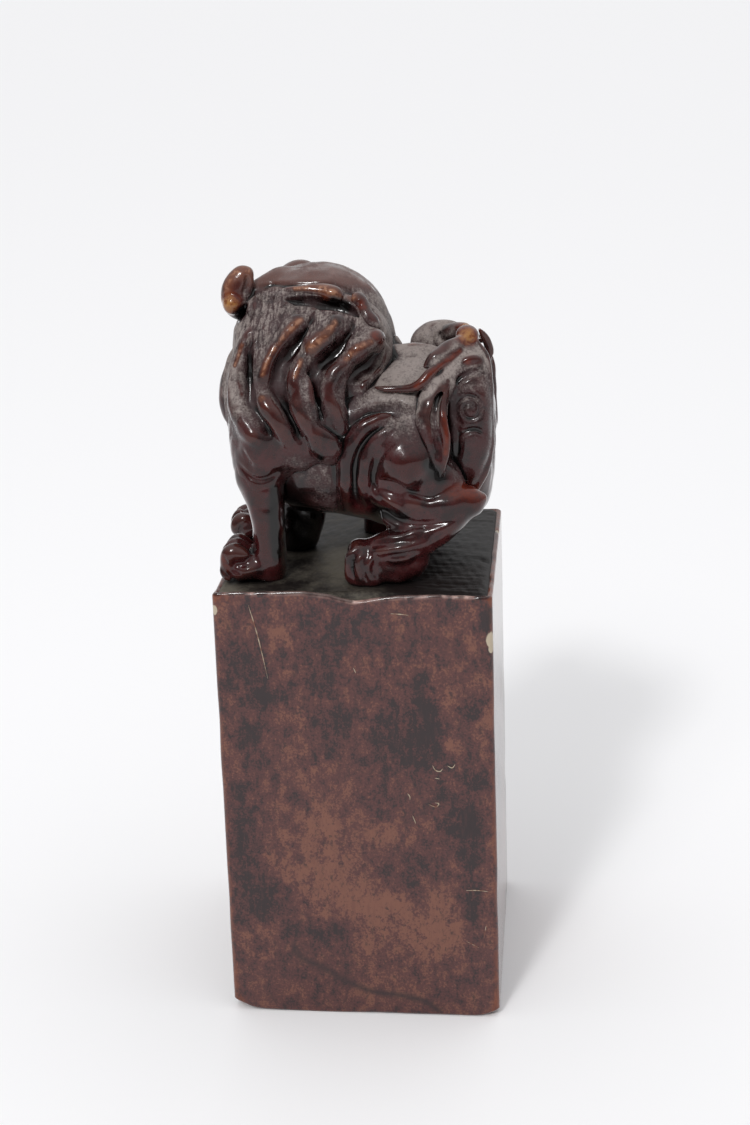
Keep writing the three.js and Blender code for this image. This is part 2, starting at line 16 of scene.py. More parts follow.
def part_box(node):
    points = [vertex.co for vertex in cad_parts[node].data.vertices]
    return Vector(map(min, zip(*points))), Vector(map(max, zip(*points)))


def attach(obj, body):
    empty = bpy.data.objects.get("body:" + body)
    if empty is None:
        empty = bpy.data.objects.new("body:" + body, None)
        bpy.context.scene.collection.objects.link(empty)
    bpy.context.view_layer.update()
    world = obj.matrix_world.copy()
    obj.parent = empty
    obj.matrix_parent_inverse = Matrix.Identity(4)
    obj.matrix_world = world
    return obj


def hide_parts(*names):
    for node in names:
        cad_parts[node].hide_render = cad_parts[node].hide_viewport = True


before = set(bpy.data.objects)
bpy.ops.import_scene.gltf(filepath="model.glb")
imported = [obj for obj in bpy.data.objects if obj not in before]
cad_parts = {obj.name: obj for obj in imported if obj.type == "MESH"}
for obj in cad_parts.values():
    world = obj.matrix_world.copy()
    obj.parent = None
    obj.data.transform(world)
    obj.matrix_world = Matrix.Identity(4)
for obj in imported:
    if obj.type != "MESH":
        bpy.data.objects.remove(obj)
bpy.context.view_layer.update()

bl_info = {
    "name": "Carved Lion Seal",
    "version": (1, 0, 0),
    "blender": (4, 5, 0),
    "location": "3D View > Sidebar > Lion Seal",
    "description": "Builds a waxed soapstone seal with a carved lion, on a pale studio floor",
    "category": "Add Mesh",
}

MM = 0.001
GROUND_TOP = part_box("carved_ground")[1][2] / MM
FOOT_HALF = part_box("seal_block")[1][0] / MM
TOP_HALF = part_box("carved_ground")[1][0] / MM
BLOCK_TOP = 60.0  # the rim, in mm above the printing face
CORNER_ROUND = 0.7  # of the upright corners
EDGE_WEAR = 0.45  # of the block's foot and rim
GROUND_INSET = 0.5  # from the block's sides to the ground inside the rim
FLOOR_LEVEL = -0.02  # just clear of the printing face
MIDDLE_Y = -2.0  # the lion's own middle plane
UP = np.array([0.0, 0.0, 1.0])
NEAR = np.array([0.0, -1.0, 0.0])
FAR = -NEAR
REAR = np.array([1.0, 0.0, 0.0])
REACH = 7  # grains of distance kept on each side of a surface
SIGHT = np.array([-0.102, 0.933, -0.344])  # from the viewer towards the lion's near flank


# Lines, sweeps and eggs

def through(points, shares):
    """A smooth line through the points: cubic pieces whose speed at each point follows the square roots
    of the distances to its neighbours. Shares from 0 to 1 run evenly over the pieces."""
    points = np.asarray(points, float)
    last = len(points) - 1
    along = np.clip(shares, 0, 1) * last
    piece = np.minimum(along.astype(int), last - 1)
    part = (along - piece)[:, None]
    padded = np.vstack([2 * points[0] - points[1], points, 2 * points[-1] - points[-2]])
    p0, p1, p2, p3 = (padded[piece + k] for k in range(4))
    d0, d1, d2 = (
        np.sqrt(np.linalg.norm(b - a, axis=1, keepdims=True)) + 1e-9
        for a, b in ((p0, p1), (p1, p2), (p2, p3))
    )
    leave = ((p1 - p0) / d0 - (p2 - p0) / (d0 + d1) + (p2 - p1) / d1) * d1
    arrive = ((p2 - p1) / d1 - (p3 - p1) / (d1 + d2) + (p3 - p2) / d2) * d1
    return (
        (2 * part**3 - 3 * part**2 + 1) * p1 + (part**3 - 2 * part**2 + part) * leave
        + (3 * part**2 - 2 * part**3) * p2 + (part**3 - part**2) * arrive
    )


def closed_quads(rings, sides):
    """The quads of a grid of rings, each joined round to its own start."""
    index = np.arange(rings * sides).reshape(rings, sides)
    following = np.roll(index, -1, 1)
    return np.stack([index[:-1], following[:-1], following[1:], index[1:]], -1).reshape(-1, 4)


class Swept:
    """A rounded profile carried along a smooth line.

    Each station is x, y, height and the profile's half sizes across and towards out. A point is the line's
    own point, plus the half sizes times the cosine and sine of its angle, times the end taper, which is the
    square root of 1 minus the distance from the middle to the power of bluntness. A fullness under 1 makes
    the profile squarer.
    """

    def __init__(self, stations, out=NEAR, bluntness=4.0, fullness=1.0, sides=28, rings=40):
        rows = np.array([row if len(row) == 5 else (*row, row[3]) for row in stations], float)
        self.line = rows[:, :3] + [0, 0, GROUND_TOP]
        self.half = rows[:, 3:]
        self.out = np.asarray(out, float)
        self.fullness = fullness
        along = -np.cos(np.linspace(0, np.pi, rings + 1))
        taper = np.sqrt(1 - np.abs(along) ** bluntness)
        angles = np.linspace(0, 2 * np.pi, sides, endpoint=False)
        share, angle = np.meshgrid((1 + along) / 2, angles, indexing="ij")
        self.points = self.at(share.ravel(), angle.ravel(), 0.0, np.repeat(taper, sides))
        self.quads = closed_quads(rings + 1, sides)

    def at(self, share, angle, rise=0.0, taper=1.0):
        """Points at shares of the line and angles round it, raised by rise. Between stations the half sizes
        follow cubic pieces, whose slope at a station is half the step between its neighbours."""
        step = 1e-4
        before, after = np.clip(share - step, 0, 1), np.clip(share + step, 0, 1)
        along = through(self.line, after) - through(self.line, before)
        along /= np.linalg.norm(along, axis=1, keepdims=True)
        outward = self.out - along * (along @ self.out)[:, None]
        outward /= np.linalg.norm(outward, axis=1, keepdims=True)
        side = np.cross(along, outward)
        last = len(self.half) - 1
        place = np.clip(share, 0, 1) * last
        piece = np.minimum(place.astype(int), last - 1)
        part = (place - piece)[:, None]
        h0, h1 = self.half[np.maximum(piece - 1, 0)], self.half[piece]
        h2, h3 = self.half[piece + 1], self.half[np.minimum(piece + 2, last)]
        v0, v1 = (h2 - h0) / 2, (h3 - h1) / 2
        cubed, squared = 2 * h1 - 2 * h2 + v0 + v1, -3 * h1 + 3 * h2 - 2 * v0 - v1
        half = cubed * part**3 + squared * part**2 + v0 * part + h1
        cosine, sine = np.cos(angle), np.sin(angle)
        across = np.sign(cosine) * np.abs(cosine) ** self.fullness * (half[:, 0] * taper + rise)
        towards = np.sign(sine) * np.abs(sine) ** self.fullness * (half[:, 1] * taper + rise)
        return through(self.line, share) + side * across[:, None] + outward * towards[:, None]


class Egg:
    """An ellipsoid: the centre plus the half sizes times the unit sphere's point at each pair of angles."""

    def __init__(self, centre, halves, sides=36, rings=26, axes=None):
        polar, round_ = np.meshgrid(
            np.linspace(0, np.pi, rings + 1), np.linspace(0, 2 * np.pi, sides, endpoint=False), indexing="ij")
        unit = np.stack([np.sin(polar) * np.cos(round_), np.sin(polar) * np.sin(round_), np.cos(polar)], -1)
        scaled = unit.reshape(-1, 3) * np.broadcast_to(halves, 3)
        if axes is not None:
            scaled = scaled @ np.asarray(axes)
        self.points = scaled + np.asarray(centre, float) + [0, 0, GROUND_TOP]
        self.quads = closed_quads(rings + 1, sides)


def mirrored(rows):
    """The same stations on the other side of the lion's middle plane."""
    return [(row[0], 2 * MIDDLE_Y - row[1], *row[2:]) for row in rows]


# Stone: distances to a surface on an even grid

class Stone:
    """A box of stone, held as distances in mm to its surface at even grains, negative inside.

    A form's numpy surface is turned into distances, which are joined to the stone or cut from it, with the
    crease rounded over a width. The surface where the distance is nought is then drawn as quads again.
    """

    def __init__(self, low, high, grain):
        self.grain = grain
        self.start = np.floor((np.array(low) + [0, 0, GROUND_TOP]) / grain).astype(int)
        end = np.ceil((np.array(high) + [0, 0, GROUND_TOP]) / grain).astype(int)
        self.far = grain * REACH
        self.depth = np.full(end - self.start + 1, self.far, np.float32)
        self.transform = openvdb.createLinearTransform(voxelSize=grain)

    def copied(self):
        """The same stone with distances of its own, so that carving it leaves the first one whole."""
        stone = copy.copy(self)
        stone.depth = self.depth.copy()
        return stone

    def distances(self, form):
        """The part of the box that a form reaches, and the distance to the form's surface at its grains."""
        low = np.floor(form.points.min(0) / self.grain).astype(int) - REACH
        high = np.ceil(form.points.max(0) / self.grain).astype(int) + REACH + 1
        low = np.maximum(low, self.start)
        high = np.minimum(high, self.start + self.depth.shape)
        level = openvdb.FloatGrid.createLevelSetFromPolygons(
            form.points.astype(np.float32), quads=form.quads.astype(np.uint32),
            transform=self.transform, halfWidth=REACH)
        part = np.empty(high - low, np.float32)
        level.copyToArray(part, ijk=tuple(int(value) for value in low))
        return tuple(slice(a, b) for a, b in zip(low - self.start, high - self.start)), part

    def sampled(self, points):
        """The distance at the grain nearest to each point, or the farthest one kept when outside the box."""
        place = np.rint(points / self.grain).astype(int) - self.start
        held = ((place >= 0) & (place < self.depth.shape)).all(1)
        found = np.full(len(points), self.far, np.float32)
        found[held] = self.depth[tuple(place[held].T)]
        return found

    @staticmethod
    def nearest(a, b, width):
        """The smaller of two distances, with the crease between them rounded over a width."""
        if width <= 0:
            return np.minimum(a, b)
        share = np.clip(0.5 + 0.5 * (b - a) / width, 0, 1)
        return b + (a - b) * share - width * share * (1 - share)

    def join(self, *forms, blend=0.0):
        """Adds forms: the smaller of the stone's distance and the form's, rounded over the blend."""
        for form in forms:
            where, part = self.distances(form)
            self.depth[where] = self.nearest(self.depth[where], part, blend)

    def cut(self, *forms, blend=0.0):
        """Takes forms away: the stone's distance with its sign turned is joined with the form's, and the
        sign is turned back."""
        for form in forms:
            where, part = self.distances(form)
            self.depth[where] = -self.nearest(-self.depth[where], part, blend)

    def soften(self, grains):
        """Each distance becomes the average of its neighbours, weighted by a bell curve."""
        self.depth = blurred(self.depth, grains)

    def roughen(self, amount, length, seed, waves=10):
        """Uneven handwork: the surface moves in and out by a sum of waves in seeded directions."""
        rng = np.random.default_rng(seed)
        axes = [
            (self.start[k] + np.arange(self.depth.shape[k])).astype(np.float32) * self.grain for k in range(3)
        ]
        moved = np.zeros_like(self.depth)
        for _ in range(waves):
            way = rng.normal(size=3)
            way *= 2 * np.pi / length / np.linalg.norm(way) * rng.uniform(0.6, 1.5)
            phase = rng.uniform(0, 2 * np.pi)
            moved += np.sin(
                (axes[0] * way[0] + phase)[:, None, None] + (axes[1] * way[1])[None, :, None]
                + (axes[2] * way[2])[None, None, :])
        self.depth += moved * (amount / np.sqrt(waves / 2))

    def surface(self):
        """Points and outward quads of the stone's closed skins. Points that share a quad take the lowest
        number among them until none changes, and skins under a twentieth of the largest are dropped."""
        grid = openvdb.FloatGrid(self.far)
        grid.transform = self.transform
        grid.copyFromArray(self.depth, ijk=tuple(int(value) for value in self.start), tolerance=0)
        points, quads = grid.convertToQuads(isovalue=0.0)
        quads = quads.astype(np.int64)
        group = np.arange(len(points))
        while True:
            least = group[quads].min(1)
            lower = group.copy()
            for corner in range(4):
                np.minimum.at(lower, quads[:, corner], least)
            lower = lower[lower]
            if np.array_equal(lower, group):
                break
            group = lower
        owner, sizes = np.unique(group, return_inverse=True, return_counts=True)[1:]
        kept = (sizes > sizes.max() / 20)[owner]
        quads = quads[kept[quads[:, 0]]]
        points = points[kept]
        quads = (np.cumsum(kept) - 1)[quads]
        a, b, c = (points[quads[:, k]] for k in (0, 1, 2))
        if np.einsum("ij,ij->i", a, np.cross(b, c)).sum() < 0:
            quads = quads[:, ::-1]
        return points.astype(float), quads


def laid(rows, level, *stones):
    """Stations x, y, height, radius moved along the line of sight, until each lies at the level, in radii,
    above the first stone met there: below 0 is sunk into the stone, 0 is on its surface."""
    rows = np.array(rows, float)
    steps = np.arange(-5.0, 4.0, 0.06)
    line = rows[:, None, :3] + [0, 0, GROUND_TOP] + steps[None, :, None] * SIGHT
    depth = np.min([stone.sampled(line.reshape(-1, 3)) for stone in stones], axis=0).reshape(len(rows), -1)
    met = depth <= (level * rows[:, 3])[:, None]
    moved = np.where(met.any(1), steps[met.argmax(1)], 0.0)
    rows[:, :3] += moved[:, None] * SIGHT
    return [tuple(row) for row in rows]


def blurred(values, width):
    """A bell curve of the given width in cells, along each of the three axes in turn."""
    reach = int(np.ceil(3 * width))
    weights = np.exp(-0.5 * (np.arange(-reach, reach + 1) / width) ** 2)
    weights = (weights / weights.sum()).astype(np.float32)
    for axis in range(3):
        padded = np.pad(values, [(reach, reach) if k == axis else (0, 0) for k in range(3)], mode="edge")
        total = np.zeros_like(values)
        for shift, weight in enumerate(weights):
            window = [slice(None)] * 3
            window[axis] = slice(shift, shift + values.shape[axis])
            total += weight * padded[tuple(window)]
        values = total
    return values


# Head, turned 70 degrees from the body's own direction

HEAD_MIDDLE = np.array([-4.49, 1.49, 30.86])
HEAD_TURN = np.radians(70)
FACE = np.array([-np.cos(HEAD_TURN), np.sin(HEAD_TURN), 0.0])
RIGHT = np.cross(FACE, UP)
HEAD_AXES = [RIGHT, FACE, UP]


def in_head(right, forward, above):
    """A place in the head: its middle plus steps in mm to its right, forward and up."""
    return HEAD_MIDDLE + RIGHT * right + FACE * forward + UP * above


def head_rows(rows):
    """Stations given to the head's right, forward and above its middle, as x, y, height."""
    return [(*in_head(*row[:3]), *row[3:]) for row in rows]


def head_egg(right, forward, above, halves):
    """An ellipsoid with its half sizes to the head's right, forward and up."""
    return Egg(in_head(right, forward, above), halves, axes=HEAD_AXES)


def spiral(centre, radius, turns, tube, out, tilt=0.0, sense=1, start=0.0):
    """Stations on a spiral round the centre, in the plane square to out, closing in at a steady rate."""
    out = np.asarray(out, float) / np.linalg.norm(out)
    first = np.cross(out, UP) / np.linalg.norm(np.cross(out, UP))
    second = np.cross(out, first)
    share = np.linspace(0, 1, max(8, int(turns * 9)))
    angle = start + sense * share * turns * 2 * np.pi
    reach = radius * (1 - 0.82 * share)
    points = np.asarray(centre) + reach[:, None] * (
        np.cos(angle)[:, None] * first + np.sin(angle)[:, None] * second) + out * (tilt * share)[:, None]
    return [(*point, tube * (1 - 0.45 * part)) for point, part in zip(points, share)]


@functools.lru_cache(maxsize=None)
def head_mass():
    """The head without its detail: one sweep from cheek to cheek, with the forehead's far bump, the near
    cheek and the brow's corner joined to it."""
    stone = Stone((-18.5, -10, 14), (8, 18, 41), 0.15)
    stone.join(Swept(head_rows([
        (-9.35, 0, 2.6, 5.62, 3.78), (-4, 0, 1.6, 7.45, 5.54), (0.71, 0, 0.1, 7.98, 6.6),
        (5.16, 0, -3.28, 6.84, 5.54), (8.9, 0, -5.54, 4.41, 4.41),
    ]), UP, 3.2, sides=64, rings=64))
    # Far bump of the forehead, which shows behind the dome
    stone.join(Egg((-8.2, 7.6, 34), (3.2, 2.6, 3.1)), blend=0.9)
    # Cheek that the ear stands on, and the brow's front corner above it
    stone.join(Swept([
        (-12.2, -3, 34.4, 1.5), (-11.4, -4.4, 32.8, 2), (-10.2, -6.2, 30.8, 2),
    ], NEAR), blend=1.4)
    stone.join(Swept([
        (-13.3, -2, 35.4, 0.8), (-12.3, -1.5, 35.6, 0.9), (-11, -0.6, 35.9, 1.1), (-9.6, 0.4, 36.2, 1.3),
        (-8, 1.4, 35.8, 1.3),
    ], NEAR), blend=1.2)
    return stone


# Lower edge of the smooth dome, above the curls and down behind the mane
DOME_EDGE = [
    (-11.6, -2, 35.4, 0.3), (-10.3, -2.6, 36, 0.4), (-7.8, -3.8, 36.15, 0.45), (-5.2, -4.3, 36.3, 0.45),
    (-2.8, -4.1, 36.1, 0.5), (-0.9, -3.9, 35.5, 0.55), (0.4, -4.1, 35.1, 0.5), (2, -4.9, 33.9, 0.6),
    (3.1, -5.5, 32, 0.7), (4, -5.2, 30, 0.7), (4.6, -4.6, 28.4, 0.5),
]
CURL_HOLLOW = [
    (-8.4, -5.6, 34.6, 0.35), (-6.8, -6, 34.4, 0.7), (-4.8, -6.1, 34.2, 0.95), (-2.8, -6.2, 33.9, 1.1),
    (-1.3, -6.4, 33.6, 1.05), (-0.1, -6.2, 33.1, 0.85), (1, -6.2, 32.1, 0.6),
]
COMBED = [
    [(-11.8, -3, 35.3, 0.2), (-11.4, -5.4, 34.2, 0.35), (-11.4, -7.7, 32.8, 0.35), (-12, -8.9, 31.3, 0.2)],
    [(-10.1, -4.4, 35.2, 0.2), (-9.7, -6.7, 34.2, 0.38), (-10, -8.6, 32.5, 0.38), (-10.8, -10.2, 30.5, 0.3),
     (-11.5, -11, 28.7, 0.2)],
    [(-8.4, -6, 34.9, 0.2), (-8.5, -8.5, 33, 0.38), (-9.3, -10.1, 31.1, 0.35), (-10.5, -11, 29.4, 0.2)],
    [(-6.9, -6.6, 34.2, 0.2), (-6.9, -7.6, 33.6, 0.35), (-7.6, -8.9, 32.4, 0.3)],
    [(-3.6, -6.8, 33.9, 0.2), (-4.2, -7.8, 33.2, 0.4), (-5, -9, 32.2, 0.35)],
    [(0.6, -7.2, 32.7, 0.2), (0.6, -8.2, 31.6, 0.45), (0, -9.2, 30.8, 0.35)],
    [(-12.6, -4, 33.8, 0.18), (-12.6, -6, 32.6, 0.32), (-13.2, -7.4, 31, 0.22)],
    [(-11, -3.6, 35.3, 0.18), (-10.5, -6, 34.2, 0.32), (-10.7, -8.2, 32.6, 0.32), (-11.6, -9.6, 30.6, 0.2)],
    [(-9.2, -5.4, 35, 0.18), (-9.1, -7.6, 33.6, 0.32), (-9.7, -9.4, 31.8, 0.3), (-10.8, -10.6, 29.8, 0.2)],
    [(-7.7, -6.6, 34.4, 0.18), (-7.9, -8.4, 33, 0.3), (-8.5, -9.4, 32, 0.2)],
]


def cut_border(stone):
    """The lines where the dome meets the mane lie on both, so both are cut by the same tubes."""
    both = head_mass(), mane_mass()
    stone.cut(Swept(laid(DOME_EDGE, 0.1, *both), NEAR, 8, rings=90), blend=0.3)
    stone.cut(Swept(laid(CURL_HOLLOW, -0.6, *both), NEAR, 8, rings=70), blend=0.25)
    stone.cut(*[Swept(laid(rows, -0.08, *both), NEAR, 8) for rows in COMBED], blend=0.2)


def carve_head():
    """The head's detail: sweeps and ellipsoids joined to its mass or cut from it, then softened by a bell
    curve of 0.8 grains and moved by waves of about 0.03 mm."""
    stone = head_mass().copied()
    both = head_mass(), mane_mass()
    cut_border(stone)
    # The two curls that stand proud of the drilled hollow
    stone.join(Swept(laid([
        (-9.4, -4.2, 35.5, 0.35), (-7.6, -4.8, 35.65, 0.55), (-5.9, -5, 35.7, 0.7),
        (-4.4, -5.1, 35.7, 0.85), (-3, -5.2, 35.5, 1.1), (-1.9, -5.5, 35.1, 1.15), (-1.1, -5.8, 34.6, 0.8),
    ], -0.15, *both), NEAR, 6), blend=0.2)
    stone.join(Swept(laid([
        (-7.6, -5.8, 34.9, 0.25), (-5.8, -6, 34.85, 0.45), (-4, -6.2, 34.75, 0.5), (-2.6, -6.4, 34.5, 0.35),
    ], 0.1, *both), NEAR, 5), blend=0.15)
    stone.join(Swept(laid([
        (-0.1, -5.1, 34.6, 0.9), (0.7, -5.1, 34.4, 1.2), (1.4, -5.4, 33.7, 0.95), (1.8, -5.9, 32.8, 0.85),
        (2.6, -6.4, 31.9, 0.9), (3.5, -6.2, 30.8, 0.6),
    ], 0.0, *both), NEAR, 6), blend=0.2)

    # Near ear: a leaf with a slim cup along its rear edge and a ball at its foot
    stone.join(Swept([
        (-13.9, -2.6, 31.4, 0.9), (-14.8, -3, 33.2, 1.6, 1.3), (-14.7, -3, 35.4, 1.95, 1.4),
        (-13.6, -2.8, 37.2, 1.5, 1.2), (-12.7, -2.6, 38, 0.9),
    ], NEAR, 5), blend=0.3)
    stone.join(Swept([
        (-13.6, -2.2, 33.2, 1), (-12.6, -2, 33.8, 1.2), (-11, -1.8, 34.2, 1.2),
    ], NEAR), blend=0.6)
    stone.cut(Swept(laid([
        (-13.3, -4, 37.6, 0.2), (-13.1, -4, 36.7, 0.42), (-13.3, -4, 35.7, 0.42), (-13.9, -4, 35, 0.2),
    ], 0, stone), NEAR, 8), blend=0.15)
    stone.join(Egg((-15.1, -3.9, 33.8), (1.3, 1.25, 1.35)), blend=0.25)
    stone.cut(Swept([
        (-13.7, -4.9, 34.5, 0.2), (-13.6, -4.9, 33.4, 0.32), (-14.2, -4.7, 32.3, 0.25),
    ], NEAR, 8), blend=0.2)

    # Far ear lies back against the head
    stone.join(Swept(head_rows([
        (6.6, 3, -1.2, 1.2, 1.6), (7.4, 3.4, -3, 1.3, 1.8), (7.6, 3.2, -5.6, 0.9, 1.2),
    ]), FAR, 4), blend=0.4)
    stone.cut(head_egg(7.9, 4.7, -3.2, (0.6, 1, 1.4)), blend=0.3)

    # Muzzle over an open mouth
    stone.join(Swept(head_rows([
        (0, 3.4, -1.4, 5.4, 4), (0, 7.8, -1.4, 4.7, 3.3), (0, 11.6, -1.1, 4, 2.5),
    ]), UP, 5, sides=44), blend=0.9)
    stone.join(Swept(head_rows([
        (0, 2.3, -7, 4.5, 2.2), (0, 7.3, -7.1, 4, 1.9), (0, 10.6, -6.3, 2.9, 1.35),
    ]), UP, 4, sides=44), blend=0.7)
    for side in (-1, 1):
        stone.join(Swept(head_rows([
            (side * 1.3, 11.2, -0.6, 1.4), (side * 3.4, 10.4, -2.4, 1.5), (side * 4.5, 8, -3.9, 1.3),
            (side * 4.9, 5.6, -4.8, 1.1),
        ]), FACE), blend=0.5)
    stone.cut(Swept(head_rows([
        (0, 13, -4.3, 3.1, 0.75), (0, 9.6, -4.5, 3.3, 1.05), (0, 6, -4.6, 2.9, 0.9),
    ]), UP, 6), blend=0.25)
    # Six teeth above and six below, the outer ones longer, and the tongue
    for right in (-2.5, -1.4, -0.5, 0.5, 1.4, 2.5):
        long = 0.95 if abs(right) > 2 else 0.55
        reach = 11.3 - 0.16 * right * right
        lower = head_egg(right * 0.86, reach - 1.1, -5.5 + 0.2 * long, (0.42, 0.45, 0.8 * long))
        stone.join(head_egg(right, reach, -3.7 - 0.3 * long, (0.46, 0.5, long)), lower, blend=0.1)
    stone.join(Swept(head_rows([(0, 6.6, -5.7, 1.7, 0.6), (0, 9.3, -5.3, 1.4, 0.5)]), UP, 4), blend=0.2)
    # Nose, and on each side its wing and nostril, the eye in its socket, the brow, the lid and a curl
    stone.join(head_egg(0, 11.3, 0.9, (2, 1.5, 1.3)), blend=0.4)
    for side in (-1, 1):
        stone.join(head_egg(side * 1.5, 11.2, 0.6, (0.95, 1.1, 0.9)), blend=0.35)
        stone.cut(head_egg(side * 1.35, 12.4, 0.5, (0.42, 0.7, 0.4)), blend=0.15)
        stone.cut(head_egg(side * 3.3, 8.6, 0.7, (1.75, 1.4, 1.4)), blend=0.5)
        stone.join(head_egg(side * 3.3, 7.2, 0.8, (1.6, 1.6, 1.5)), blend=0.2)
        stone.cut(head_egg(side * 3.5, 9, 0.8, (0.5, 0.6, 0.5)), blend=0.15)
        stone.join(Swept(head_rows([
            (side * 1.1, 8.2, 2.2, 0.8), (side * 2.6, 8, 2.5, 1.1), (side * 4.5, 6.8, 2.1, 1.15),
            (side * 6, 4.8, 0.9, 0.95), (side * 6.8, 3.2, -0.6, 0.5),
        ]), UP, 5), blend=0.3)
        stone.join(Swept(head_rows([
            (side * 1.9, 8.2, -0.7, 0.4), (side * 3.4, 8.7, -0.9, 0.5), (side * 5.1, 7.3, -0.3, 0.45),
        ]), FACE), blend=0.2)
        cheek_out = in_head(side * 6, 6, -1) - in_head(side * 4, 2.5, -1)
        curl = spiral(in_head(side * 6, 5, -2.6), 1.8, 1.4, 0.7, cheek_out, sense=side)
        stone.join(Swept(curl, FACE, 6), blend=0.3)
    # Wrinkles across the bridge of the nose
    for row in range(3):
        stone.cut(Swept(head_rows([
            (-1.6, 9.2 - 0.9 * row, 1.6 + 0.35 * row, 0.2), (0, 9.7 - 0.9 * row, 1.6 + 0.45 * row, 0.3),
            (1.6, 9.2 - 0.9 * row, 1.6 + 0.35 * row, 0.2),
        ]), UP, 8), blend=0.15)
    # Beard in five strands
    for strand in range(-2, 3):
        reach = 1 - 0.12 * abs(strand)
        stone.join(Swept(head_rows([
            (strand * 1.15, 7.4, -7.6, 0.95), (strand * 1.35, 8.3, -10.2, 1.15),
            (strand * 1.2, 7.3, -7.6 - 5.4 * reach, 1), (strand * 0.75, 6.2, -7.6 - 8.4 * reach, 0.45),
        ]), FACE, 4), blend=0.25)
    stone.join(head_egg(0, 5.4, -10, (3.4, 2.6, 4)), blend=0.6)
    stone.soften(0.8)
    stone.roughen(0.03, 2.6, 3)
    return stone


# Mane

MANE_ROWS = [
    (-8.91, -3.0, 10.35, 7.76, 7.84), (-8.01, -3.0, 17.23, 8.54, 10.49), (-7.01, -2.6, 22.82, 9.22, 10.81),
    (-5.22, -1.6, 28.41, 10.38, 9.33), (-4.32, 0.4, 36.15, 8.15, 7.0),
]


@functools.lru_cache(maxsize=None)
def mane_mass():
    """The mane without its detail: one upright sweep, and a shoulder swept down from it on each side."""
    stone = Stone((-20, -16.5, 8.5), (8.5, 11.5, 36.8), 0.188)
    stone.join(Swept(MANE_ROWS, NEAR, 5, 0.8, sides=72, rings=72))
    # Shoulders that run down into the forelegs
    stone.join(*[Swept([
        (-10.3, side * 6.4 + MIDDLE_Y, 20, 4.6, 4.6), (-11.3, side * 7.5 + MIDDLE_Y, 16.8, 4.1, 4),
        (-11.5, side * 8.3 + MIDDLE_Y, 14.2, 3.45, 3.3), (-11.4, side * 8.7 + MIDDLE_Y, 12, 2.7, 2.7),
        (-11.1, side * 8.8 + MIDDLE_Y, 10.2, 2.1, 2.1),
    ], NEAR, 6) for side in (-1, 1)], blend=1.5)
    return stone


def cut_elbow(stone):
    """Creases where each foreleg leaves the mane, which lie on both, and the far side's mirrored."""
    for rows in (
        [(-14, -12, 15.4, 0.15), (-12.9, -12.8, 14.4, 0.3), (-11.6, -13.2, 13.7, 0.36),
         (-10.2, -13.2, 13.9, 0.36), (-9, -13, 14.6, 0.25)],
        [(-13.2, -12.4, 17.4, 0.15), (-12.6, -12.8, 15.8, 0.25), (-12.2, -13, 14.6, 0.2)],
    ):
        placed = laid(rows, 0.1, stone)
        stone.cut(Swept(placed, NEAR, 8), Swept(mirrored(placed), FAR, 8), blend=0.35)


